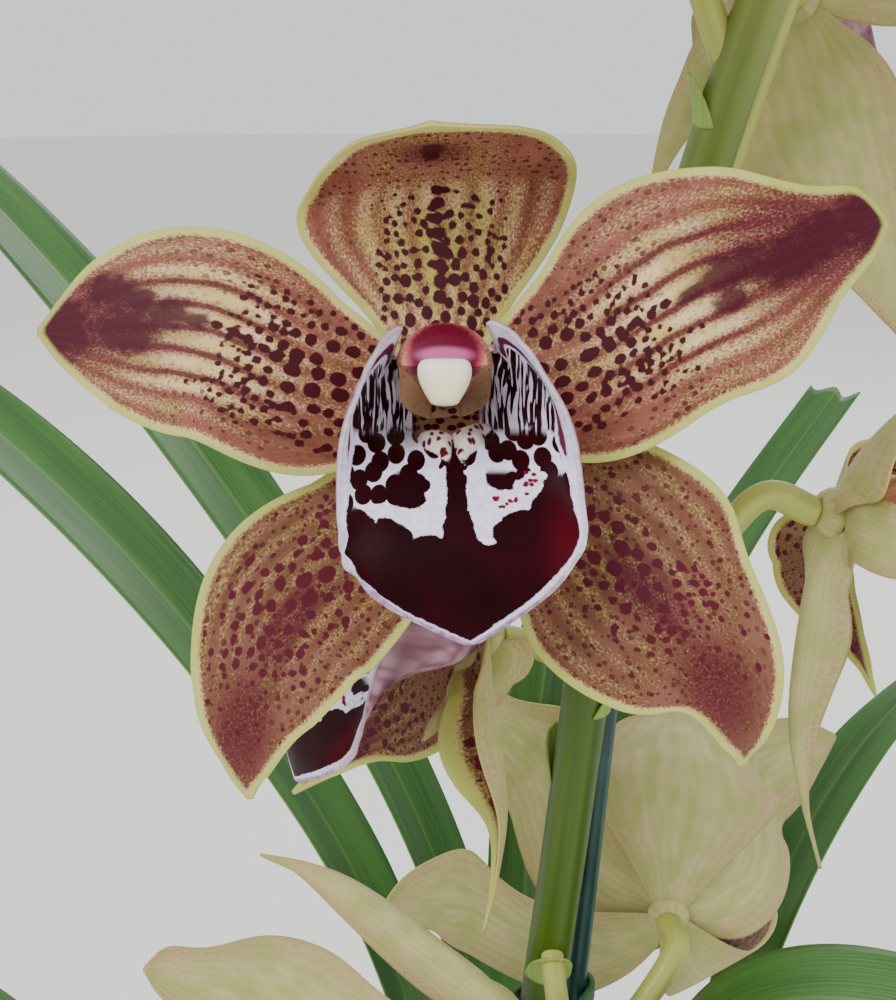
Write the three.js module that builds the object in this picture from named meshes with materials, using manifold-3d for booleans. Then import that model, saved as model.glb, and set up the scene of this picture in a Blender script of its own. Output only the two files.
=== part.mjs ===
// Potted cymbidium orchid: pot, bark, five growths with strap leaves, a staked flower spike,
// eight open blooms and three buds. Millimetres, +Z up, origin at the centre of the pot's underside.
import * as THREE from 'three';
import { mergeVertices } from 'three/addons/utils/BufferGeometryUtils.js';
import Module from 'manifold-3d';

const wasm = await Module();
wasm.setup();

// Pot
const POT_HEIGHT = 150;
const POT_TOP_RADIUS = 85;
const POT_FOOT_RADIUS = 62;
const POT_WALL = 2.4;
const POT_FLOOR = 3;
const RIM_HEIGHT = 16;
const RIM_STEP = 3;
const DRAIN_HOLES = 8;
const DRAIN_RADIUS = 5;
const DRAIN_CIRCLE = 44;

// Bark
const BARK_EDGE_LEVEL = 136;
const BARK_MOUND = 7;
const BARK_RELIEF = 3;
const FIT_GAP = 0.35;

// Blooms
const TEPAL_THICKNESS = 0.9;
const LIP_THICKNESS = 0.9;
const TEPAL_START = 0.015;
const OVARY_RADIUS = 2.5;
const OVARY_GAP = 0.4;

// Stake, ties and leaves
const STAKE_RADIUS = 2;
const STAKE_TOP = 565;
const STAKE_BOTTOM = 12;
const TIE_HEIGHT = 4;
const TIE_THICKNESS = 1.2;
const LEAF_THICKNESS = 1;
const LEAF_ROWS = 10;

// Colours
const TERRACOTTA = 0x9c5a3c;
const BARK_BROWN = 0x5a3f2c;
const LEAF_GREEN = 0x4d7a32;
const STEM_GREEN = 0x86a33a;
const TEPAL_COLOUR = 0xa87858;
const LIP_COLOUR = 0x5a0f22;
const COLUMN_COLOUR = 0xb0506a;
const CAP_COLOUR = 0xf2ead0;
const STAKE_COLOUR = 0x1f3d3a;
const TIE_COLOUR = 0x2f5a34;

const UP = new THREE.Vector3(0, 0, 1);
const group = new THREE.Group();

// A repeatable random stream, so every run gives the same plant
function randomStream(seed) {
  let state = seed;
  return () => {
    state = (state * 1664525 + 1013904223) % 4294967296;
    return state / 4294967296;
  };
}

// Smooth curve through equally spaced rows of numbers, t from 0 to 1
function smooth(rows, t) {
  const last = rows.length - 1;
  const place = Math.min(Math.max(t, 0), 1) * last;
  const i = Math.min(Math.floor(place), last - 1);
  const f = place - i;
  const row = (k) => {
    if (k < 0) return rows[0].map((v, j) => 2 * v - rows[1][j]);
    if (k > last) return rows[last].map((v, j) => 2 * v - rows[last - 1][j]);
    return rows[k];
  };
  const [a, b, c, d] = [row(i - 1), row(i), row(i + 1), row(i + 2)];
  return b.map((v, j) => v + 0.5 * f * (c[j] - a[j] + f * (2 * a[j] - 5 * v + 4 * c[j] - d[j]
    + f * (3 * (v - c[j]) + d[j] - a[j]))));
}

function smoothPoint(points, t) {
  return new THREE.Vector3(...smooth(points, t));
}

function direction(points, t) {
  const step = 0.002;
  const ahead = smoothPoint(points, Math.min(t + step, 1));
  return ahead.sub(smoothPoint(points, Math.max(t - step, 0))).normalize();
}

// A closed solid from a list of points and a list of triangles, turned face out
function solid(points, triangles) {
  const geometry = new THREE.BufferGeometry().setFromPoints(points);
  geometry.setIndex(triangles.flat());
  return fromGeometry(geometry);
}

function fromGeometry(geometry) {
  const bare = geometry.clone();
  bare.deleteAttribute('normal');
  bare.deleteAttribute('uv');
  const merged = mergeVertices(bare, 1e-4);
  const positions = merged.attributes.position.array;
  const index = Array.from(merged.index.array);
  const point = (k) => new THREE.Vector3(...positions.slice(3 * k, 3 * k + 3));
  let volume = 0;
  const kept = [];
  for (let k = 0; k < index.length; k += 3) {
    const [a, b, c] = index.slice(k, k + 3);
    if (a === b || b === c || c === a) continue;
    volume += point(a).dot(point(b).cross(point(c)));
    kept.push([a, b, c]);
  }
  const faces = volume > 0 ? kept : kept.map(([a, b, c]) => [a, c, b]);
  return new wasm.Manifold(new wasm.Mesh({
    numProp: 3,
    vertProperties: new Float32Array(positions),
    triVerts: new Uint32Array(faces.flat()),
  }));
}

function join(solids) {
  return solids.reduce((sum, next) => sum.add(next));
}

function addNode(name, shape, colour, roughness, metalness = 0) {
  const mesh = shape.getMesh();
  const geometry = new THREE.BufferGeometry();
  const count = mesh.vertProperties.length / mesh.numProp;
  const positions = new Float32Array(count * 3);
  for (let k = 0; k < count; k += 1) {
    for (let axis = 0; axis < 3; axis += 1) {
      positions[3 * k + axis] = mesh.vertProperties[mesh.numProp * k + axis];
    }
  }
  geometry.setAttribute('position', new THREE.BufferAttribute(positions, 3));
  geometry.setIndex(Array.from(mesh.triVerts));
  geometry.computeVertexNormals();
  const material = new THREE.MeshStandardMaterial({ color: colour, roughness, metalness });
  const node = new THREE.Mesh(geometry, material);
  node.name = name;
  group.add(node);
}

// A thin closed sheet over a surface: (side, along) gives a point, side from -1 to 1 and along
// from 0 to 1; both faces are the surface shifted half the thickness along its normal
function sheet(surface, sides, rows, thickness) {
  const points = [[], []];
  const step = 0.01;
  for (let r = 0; r <= rows; r += 1) {
    for (let c = 0; c <= sides; c += 1) {
      const s = (2 * c) / sides - 1;
      const t = r / rows;
      const across = surface(Math.min(s + step, 1), t).sub(surface(Math.max(s - step, -1), t));
      const along = surface(s, Math.min(t + step, 1)).sub(surface(s, Math.max(t - step, 0)));
      const normal = across.cross(along).normalize();
      points[0].push(surface(s, t).addScaledVector(normal, thickness / 2));
      points[1].push(surface(s, t).addScaledVector(normal, -thickness / 2));
    }
  }
  const half = points[0].length;
  const at = (face, r, c) => face * half + r * (sides + 1) + c;
  const triangles = [];
  for (let r = 0; r < rows; r += 1) {
    for (let c = 0; c < sides; c += 1) {
      const corners = (face) => [at(face, r, c), at(face, r, c + 1), at(face, r + 1, c + 1), at(face, r + 1, c)];
      const [a, b, d, e] = corners(0);
      triangles.push([a, b, d], [a, d, e]);
      const [p, q, u, v] = corners(1);
      triangles.push([p, u, q], [p, v, u]);
    }
  }
  const edge = (r0, c0, r1, c1) => {
    const [a, b, p, q] = [at(0, r0, c0), at(0, r1, c1), at(1, r0, c0), at(1, r1, c1)];
    triangles.push([a, p, q], [a, q, b]);
  };
  for (let c = 0; c < sides; c += 1) {
    edge(0, c, 0, c + 1);
    edge(rows, c + 1, rows, c);
  }
  for (let r = 0; r < rows; r += 1) {
    edge(r + 1, 0, r, 0);
    edge(r, sides, r + 1, sides);
  }
  return solid(points.flat(), triangles);
}

// A round rod along a smooth line of points whose radius follows its own list
function rod(points, radii, sides, rows) {
  const vertices = [];
  let side = new THREE.Vector3(1, 0, 0);
  for (let r = 0; r <= rows; r += 1) {
    const t = r / rows;
    const centre = smoothPoint(points, t);
    const along = direction(points, t);
    side = side.clone().addScaledVector(along, -side.dot(along));
    if (side.length() < 0.2) side.set(0, 1, 0).addScaledVector(along, -along.y);
    side.normalize();
    const other = along.clone().cross(side);
    const radius = smooth(radii.map((v) => [v]), t)[0];
    for (let c = 0; c < sides; c += 1) {
      const angle = (2 * Math.PI * c) / sides;
      vertices.push(centre.clone().addScaledVector(side, radius * Math.cos(angle))
        .addScaledVector(other, radius * Math.sin(angle)));
    }
  }
  const triangles = [];
  for (let r = 0; r < rows; r += 1) {
    for (let c = 0; c < sides; c += 1) {
      const next = (c + 1) % sides;
      const [a, b] = [r * sides + c, r * sides + next];
      triangles.push([a, b, b + sides], [a, b + sides, a + sides]);
    }
  }
  vertices.push(smoothPoint(points, 0), smoothPoint(points, 1));
  const [start, end] = [vertices.length - 2, vertices.length - 1];
  for (let c = 0; c < sides; c += 1) {
    const next = (c + 1) % sides;
    triangles.push([start, next, c], [end, rows * sides + c, rows * sides + next]);
  }
  return solid(vertices, triangles);
}

// Pot: one turned profile with a stepped rim, drainage holes cut round the solid centre
function makePot() {
  const rimFoot = POT_HEIGHT - RIM_HEIGHT;
  const slope = (POT_TOP_RADIUS - RIM_STEP - POT_FOOT_RADIUS) / rimFoot;
  const wallAt = (z) => POT_FOOT_RADIUS + slope * z;
  const profile = [
    [0, 0], [POT_FOOT_RADIUS - 2, 0], [POT_FOOT_RADIUS, 2], [wallAt(rimFoot - 2), rimFoot - 2],
    [POT_TOP_RADIUS - 1, rimFoot], [POT_TOP_RADIUS, rimFoot + 2], [POT_TOP_RADIUS + 1, POT_HEIGHT - 3],
    [POT_TOP_RADIUS, POT_HEIGHT], [POT_TOP_RADIUS - 2, POT_HEIGHT], [POT_TOP_RADIUS - POT_WALL - 1, rimFoot + 4],
    [wallAt(rimFoot) - POT_WALL, rimFoot - 2], [wallAt(POT_FLOOR) - POT_WALL, POT_FLOOR], [0, POT_FLOOR],
  ];
  let pot = fromGeometry(lathe(profile, 24));
  for (let k = 0; k < DRAIN_HOLES; k += 1) {
    const angle = (2 * Math.PI * (k + 0.5)) / DRAIN_HOLES;
    const drill = new THREE.CylinderGeometry(DRAIN_RADIUS, DRAIN_RADIUS, 4 * POT_FLOOR, 10);
    drill.rotateX(Math.PI / 2);
    drill.translate(DRAIN_CIRCLE * Math.cos(angle), DRAIN_CIRCLE * Math.sin(angle), POT_FLOOR / 2);
    pot = pot.subtract(fromGeometry(drill));
  }
  return pot;
}

function lathe(profile, segments) {
  const turned = new THREE.LatheGeometry(profile.map(([r, z]) => new THREE.Vector2(r, z)), segments);
  turned.rotateX(Math.PI / 2);
  return turned;
}

// Pseudobulbs: place on the bark, radius, turn of the leaf fan
const BULB_BOTTOM = 112;
const BULB_TOP = 182;
const BULBS = [
  { x: -2, y: -6, radius: 18 },
  { x: 40, y: 8, radius: 17 },
  { x: -38, y: 18, radius: 17 },
  { x: 6, y: 40, radius: 17 },
  { x: 38, y: -34, radius: 14 },
];

function bulb({ x, y, radius }, grow) {
  const height = BULB_TOP - BULB_BOTTOM;
  const shape = [[0, -0.02], [0.55, 0], [0.9, 0.2], [1, 0.42], [0.9, 0.68], [0.55, 0.92], [0, 1.02]];
  const profile = shape.map(([r, h], k) => {
    const end = k === 0 || k === shape.length - 1;
    return [end ? 0 : r * radius + grow, BULB_BOTTOM + h * height + Math.sign(h - 0.5) * grow];
  });
  return fromGeometry(lathe(profile, 12).translate(x, y, 0));
}

// Spike: the stem's line from the bark to its nodding tip, equally spaced in height
const SPIKE_LINE = [
  [-27, -36, 100], [-25, -35, 200], [-17.5, -31.5, 300], [-12, -28, 400], [-3.6, -25, 500],
  [7.5, -25, 600], [33, -34, 695], [68, -48, 765],
];
const SPIKE_RADII = [4.6, 4.6, 4.5, 4.3, 4, 3.8, 3.1, 2];

function spikePointAt(z) {
  let low = 0;
  let high = 1;
  for (let k = 0; k < 40; k += 1) {
    const middle = (low + high) / 2;
    if (smoothPoint(SPIKE_LINE, middle).z < z) low = middle;
    else high = middle;
  }
  return smoothPoint(SPIKE_LINE, low);
}

// Stake: a straight rod just behind the spike
const STAKE_MIDDLE = new THREE.Vector3(3, -18.4, 506);
const STAKE_SLOPE = new THREE.Vector3(0.059, 0.0326, 1);

function stakePointAt(z) {
  return STAKE_MIDDLE.clone().addScaledVector(STAKE_SLOPE, z - STAKE_MIDDLE.z);
}

function stakeRod(radius, bottom, top) {
  const ends = [bottom, (bottom + top) / 2, top].map((z) => stakePointAt(z).toArray());
  return rod(ends, [radius, radius, radius], 12, 2);
}

// Bark: a bumpy mound filling the pot, with plain holes for what stands in it
function makeBark() {
  const random = randomStream(7);
  const rings = 5;
  const spokes = 16;
  const inner = (z) => POT_FOOT_RADIUS + ((POT_TOP_RADIUS - RIM_STEP - POT_FOOT_RADIUS) * z)
    / (POT_HEIGHT - RIM_HEIGHT) - POT_WALL - 0.5;
  const edge = inner(BARK_EDGE_LEVEL - 6);
  const points = [new THREE.Vector3(0, 0, BARK_EDGE_LEVEL + BARK_MOUND)];
  for (let r = 1; r <= rings; r += 1) {
    for (let c = 0; c < spokes; c += 1) {
      const angle = (2 * Math.PI * (c + 0.5 * (r % 2))) / spokes;
      const share = r / rings;
      const bump = r < rings ? BARK_RELIEF * (random() - 0.4) : -2;
      const level = BARK_EDGE_LEVEL + BARK_MOUND * (1 - share * share) + bump;
      points.push(new THREE.Vector3(edge * share * Math.cos(angle), edge * share * Math.sin(angle), level));
    }
  }
  const foot = inner(POT_FLOOR) - 1;
  for (let c = 0; c < spokes; c += 1) {
    const angle = (2 * Math.PI * (c + 0.5)) / spokes;
    points.push(new THREE.Vector3(foot * Math.cos(angle), foot * Math.sin(angle), POT_FLOOR + 0.3));
  }
  points.push(new THREE.Vector3(0, 0, POT_FLOOR + 0.3));
  const at = (r, c) => 1 + (r - 1) * spokes + (c % spokes);
  const triangles = [];
  for (let c = 0; c < spokes; c += 1) {
    triangles.push([0, at(1, c), at(1, c + 1)], [points.length - 1, at(rings + 1, c + 1), at(rings + 1, c)]);
    for (let r = 1; r <= rings; r += 1) {
      triangles.push([at(r, c), at(r + 1, c), at(r + 1, c + 1)], [at(r, c), at(r + 1, c + 1), at(r, c + 1)]);
    }
  }
  let bark = solid(points, triangles);
  BULBS.forEach((place) => {
    bark = bark.subtract(bulb(place, FIT_GAP));
  });
  const hole = SPIKE_LINE.slice(0, 3);
  hole[0] = [hole[0][0], hole[0][1], hole[0][2] - 1];
  bark = bark.subtract(rod(hole, SPIKE_RADII.slice(0, 3).map((r) => r + 2 * FIT_GAP), 10, 6));
  return bark.subtract(stakeRod(STAKE_RADIUS + FIT_GAP, STAKE_BOTTOM - FIT_GAP, 200));
}

// Strap leaf: a keeled blade along a smooth line, widest past the middle, running to a point
function leaf(line, width, facing, twist = 0, cutTip = false) {
  const sideways = new THREE.Vector3(-facing[1], facing[0], 0).normalize();
  const widths = cutTip ? [0.4, 0.5, 0.6, 0.75, 1, 1, 0.9] : [0.4, 0.5, 0.6, 0.75, 1, 0.8, 0.08];
  const surface = (s, t) => {
    const along = direction(line, t);
    const across = sideways.clone().addScaledVector(along, -sideways.dot(along)).normalize();
    across.applyAxisAngle(along, twist * t);
    const up = along.clone().cross(across);
    const half = (width / 2) * smooth(widths.map((v) => [v]), t)[0];
    const keel = (0.55 - 0.4 * t) * half;
    return smoothPoint(line, t).addScaledVector(across, s * half).addScaledVector(up, keel * Math.abs(s));
  };
  return sheet(surface, 2, LEAF_ROWS, LEAF_THICKNESS);
}

// A leaf that leaves its bulb at an angle and bows over under its own weight
function archedLeaf(place, turn, length, lean, droop) {
  const out = new THREE.Vector3(Math.cos(turn), Math.sin(turn), 0);
  const line = [];
  const steps = 6;
  const spot = new THREE.Vector3(place.x, place.y, 158).addScaledVector(out, place.radius * 0.45);
  for (let k = 0; k <= steps; k += 1) {
    line.push(spot.toArray());
    const share = (k + 0.5) / steps;
    const angle = lean + droop * share ** 1.6;
    const step = length / steps;
    spot.addScaledVector(out, step * Math.sin(angle)).addScaledVector(UP, step * Math.cos(angle));
  }
  return { line, facing: out.toArray() };
}

// Leaves that the view shows, along their own lines, and arched ones for the rest of each fan
const SHOWN_LEAVES = [
  { bulb: 0, width: 25, facing: [-0.8, 0.6], line: [[-6, 2, 158], [-8, 12, 260], [-11, 23, 350],
    [-20, 36, 440], [-55, 66, 508], [-112, 106, 576], [-178, 148, 630], [-245, 188, 655]] },
  { bulb: 0, width: 24, facing: [-0.9, 0.45], line: [[-12, -6, 158], [-17, -2, 255], [-22, 6, 350],
    [-34, 17, 442], [-64, 36, 497], [-110, 60, 545], [-170, 90, 580], [-235, 122, 590]] },
  { bulb: 0, width: 17, facing: [0.1, 1], line: [[2, 4, 158], [0, 8, 240], [-3, 13, 320],
    [-5, 22, 400], [-5, 31, 470], [0, 48, 515], [8, 76, 552]] },
  { bulb: 3, width: 16, facing: [0.75, 0.65], cutTip: true, line: [[10, 44, 158], [9, 46, 240], [8, 49, 330],
    [11, 52, 410], [20, 60, 480], [50, 89, 522], [84, 118, 557]] },
  { bulb: 1, width: 17, facing: [0.85, 0.5], line: [[42, 12, 158], [39, 12, 240], [38, 14, 330],
    [41, 19, 400], [52, 30, 450], [78, 52, 485], [126, 88, 508]] },
  { bulb: 4, width: 24, facing: [0.9, -0.4], line: [[34, -34, 158], [27, -33, 230], [20, -31, 320],
    [14, -31, 400], [22, -34, 476], [62, -52, 496], [122, -84, 462]] },
];
const FAN_LEAVES = [
  [0, -1.3, 440, 0.2, 2],
  [1, -0.15, 520, 0.16, 1.9], [1, 0.85, 420, 0.4, 2.1],
  [2, 2.85, 430, 0.46, 1.9], [2, 3.6, 430, 0.3, 2.1], [2, 2.45, 380, 0.46, 2.1], [2, 4.55, 400, 0.3, 2.2],
  [3, 1.45, 380, 0.42, 2.1], [3, 1.95, 400, 0.36, 2.1], [3, 0.65, 390, 0.42, 2.2],
  [4, -0.75, 420, 0.2, 2.1], [4, -1.6, 400, 0.24, 2.2], [4, 0.2, 380, 0.26, 2.2],
];

function makeGrowth(number) {
  const place = BULBS[number];
  const leaves = SHOWN_LEAVES.filter((entry) => entry.bulb === number)
    .map(({ line, width, facing, cutTip }) => leaf(line, width, facing, 0, cutTip));
  FAN_LEAVES.filter((entry) => entry[0] === number).forEach(([, turn, length, lean, droop]) => {
    const { line, facing } = archedLeaf(place, turn, length, lean, droop);
    leaves.push(leaf(line, 21, facing));
  });
  return join([bulb(place, 0), ...leaves]);
}

// Tepals in the bloom's own frame: x to the viewer's right, y up, z towards the viewer. Each has a
// middle line and its half widths on the anticlockwise and clockwise side from base to tip
const TEPALS = [
  { name: 'petal_left', line: [[-0.5, 0.5, 0], [-16.5, 3, 5], [-30, 8.5, 6], [-42, 9.5, 4], [-50, 9.5, 2],
    [-53.2, 9.5, 1]],
    widths: [[2.5, 2.5], [12, 9.8], [13.2, 13], [13, 12.7], [8.5, 9], [3.4, 3.6], [0.5, 0.5]] },
  { name: 'petal_right', line: [[0.5, 0.5, 0], [17.5, 5.5, 6], [31, 13, 10.5], [43, 18, 11], [51.5, 21, 10],
    [55, 22, 9]],
    widths: [[2.5, 2.5], [11.2, 13], [16.3, 13.5], [13.5, 13.8], [7.2, 7.4], [5, 3.4], [0.5, 0.5]] },
  { name: 'dorsal', line: [[0, 0.5, -1], [-0.5, 14.5, -2], [-1, 27, -0.5], [-1.5, 30.5, 8], [-1.5, 31, 15.5],
    [-1.5, 31.5, 18]],
    widths: [[2, 2], [9.9, 8.8], [18.5, 16.6], [16.1, 18.2], [10.5, 15.1], [5, 9], [0.5, 0.5]] },
  { name: 'sepal_left', line: [[-0.5, -1, -2], [-10, -16.5, 0], [-21, -27.5, 3], [-25, -39.5, 4], [-26, -48, 2],
    [-25.5, -51.5, 1]],
    widths: [[2.5, 2.5], [9.8, 9], [13.4, 12.1], [11.7, 9.2], [6.2, 6], [2.6, 2], [0.5, 0.5]] },
  { name: 'sepal_right', line: [[0.5, -1, -2], [15.5, -13, 1], [26.5, -25, 4.5], [35.5, -35, 5],
    [38, -43.5, 3.5], [38.5, -47, 2]],
    widths: [[2.5, 2.5], [11, 9], [15.8, 15.7], [11.4, 13.1], [6.8, 6], [3.5, 2.1], [0.5, 0.5]] },
];

// aim turns a tepal to a direction of its own and face turns its front, both growing from the base
// outwards; roll curls its margins in, slim and length scale its width and length. A path replaces
// the middle line, and face then gives its front all along
function tepal({ line, widths }, { aim, face, path, roll = 0, slim = 1, length = 1 }, sides, rows) {
  const middle = path ?? line;
  const outward = smoothPoint(line, 0.5).setZ(0).normalize();
  const across = new THREE.Vector3(-outward.y, outward.x, 0);
  const blade = (s, t) => {
    const along = direction(middle, t);
    const side = path ? face.clone().cross(along) : across;
    const wide = side.clone().addScaledVector(along, -side.dot(along)).normalize();
    const normal = along.clone().cross(wide).negate();
    const [anticlockwise, clockwise] = smooth(widths, t);
    const half = Math.max(s > 0 ? anticlockwise : clockwise, 0.4);
    const curl = roll * s * s * half * Math.sin(Math.PI * Math.min(t * 1.1, 1));
    const narrow = 1 - (1 - slim) * Math.min(1, 4 * t);
    return smoothPoint(middle, t).addScaledVector(wide, s * half * narrow).addScaledVector(normal, -curl);
  };
  const chord = smoothPoint(line, 1).normalize();
  const aimed = new THREE.Quaternion();
  if (aim) aimed.setFromUnitVectors(chord, aim);
  const axis = aim ?? chord;
  const front = across.clone().cross(chord).negate().applyQuaternion(aimed);
  let twist = 0;
  if (face && !path) {
    const wanted = face.clone().addScaledVector(axis, -face.dot(axis)).normalize();
    twist = Math.atan2(front.clone().cross(wanted).dot(axis), front.dot(wanted));
  }
  const surface = (s, u) => {
    const t = TEPAL_START + (1 - TEPAL_START) * u;
    if (path) return blade(s, t);
    const share = THREE.MathUtils.smoothstep(t, 0.08, 0.5);
    const bend = new THREE.Quaternion().slerp(aimed, share);
    const point = blade(s, t).multiplyScalar(length).applyQuaternion(bend);
    return point.applyAxisAngle(chord.clone().applyQuaternion(bend), twist * share);
  };
  return sheet(surface, sides, rows, TEPAL_THICKNESS);
}

// Lip: rows of the middle line (y, z) and three points (side, rise) of the half section
const LIP_ROWS = [
  [-2.2, 2.6, 3.2, 0.3, 6, 3, 5.8, 10],
  [-4, 5.5, 4.5, 0.3, 8, 3.5, 6.5, 11],
  [-5.3, 10, 6, 0.3, 10.5, 4.5, 5.3, 14.5],
  [-6.8, 14.5, 7, 0.4, 12, 5, 8.5, 13],
  [-9.5, 19, 7.5, 0.4, 12.3, 3, 12.6, 7],
  [-13.5, 22.3, 7.5, 0, 11.8, 0.2, 13.8, 1.5],
  [-18.5, 24.2, 7, -0.2, 11.5, -0.7, 13.6, -1.2],
  [-24, 24.5, 4.5, -0.2, 7.5, -0.5, 9, -1],
  [-28.8, 23, 0.3, 0, 0.6, 0, 1, 0],
];
const LIP_ROLL = THREE.MathUtils.degToRad(4);
const LIP_YAW = THREE.MathUtils.degToRad(2.5);

function makeLip(sides, rows) {
  const surface = (s, t) => {
    const row = smooth(LIP_ROWS, t);
    const ahead = smooth(LIP_ROWS, Math.min(t + 0.002, 1));
    const behind = smooth(LIP_ROWS, Math.max(t - 0.002, 0));
    const along = new THREE.Vector2(ahead[0] - behind[0], ahead[1] - behind[1]).normalize();
    const [x1, n1, x2, n2, x3, n3] = row.slice(2);
    const section = [[0, 0], [x1, n1], [x2, n2], [x3, n3]];
    const [x, rise] = smooth(section, Math.abs(s));
    const point = new THREE.Vector3(Math.sign(s) * x, row[0] + along.y * rise, row[1] - along.x * rise);
    point.applyAxisAngle(new THREE.Vector3(0, 1, 0), LIP_YAW);
    return point.applyAxisAngle(UP, LIP_ROLL);
  };
  return sheet(surface, sides, rows, LIP_THICKNESS);
}

// Column: rows of centre (y, z), half width, rise above and below the centre
const COLUMN_ROWS = [
  [1, 1.3, 1.8, 1.8, 1.8], [2.2, 4.5, 3.2, 3, 2], [3.6, 8.5, 4.4, 4.4, 1.8], [4, 12.5, 5.8, 5, 1.5],
  [3.6, 15.6, 5.2, 3.8, 0.6],
];
const CAP_CENTRE = new THREE.Vector3(0, 1.6, 18.1);
const CAP_RADII = [3.1, 3.3, 1.9];

function makeColumn(sides, rows) {
  const vertices = [];
  for (let r = 0; r <= rows; r += 1) {
    const t = r / rows;
    const [y, z, wide, above, below] = smooth(COLUMN_ROWS, t);
    for (let c = 0; c < sides; c += 1) {
      const angle = (2 * Math.PI * c) / sides;
      const rise = Math.sin(angle) * (Math.sin(angle) > 0 ? above : below);
      vertices.push(new THREE.Vector3(wide * Math.cos(angle), y + rise, z));
    }
  }
  const triangles = [];
  for (let r = 0; r < rows; r += 1) {
    for (let c = 0; c < sides; c += 1) {
      const [a, b] = [r * sides + c, r * sides + ((c + 1) % sides)];
      triangles.push([a, b, b + sides], [a, b + sides, a + sides]);
    }
  }
  for (let c = 1; c < sides - 1; c += 1) {
    triangles.push([0, c + 1, c], [rows * sides, rows * sides + c, rows * sides + c + 1]);
  }
  return solid(vertices, triangles);
}

function makeCap(sides) {
  const cap = new THREE.SphereGeometry(1, sides, Math.round(sides / 2));
  cap.scale(...CAP_RADII);
  cap.translate(...CAP_CENTRE.toArray());
  return fromGeometry(cap);
}

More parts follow.
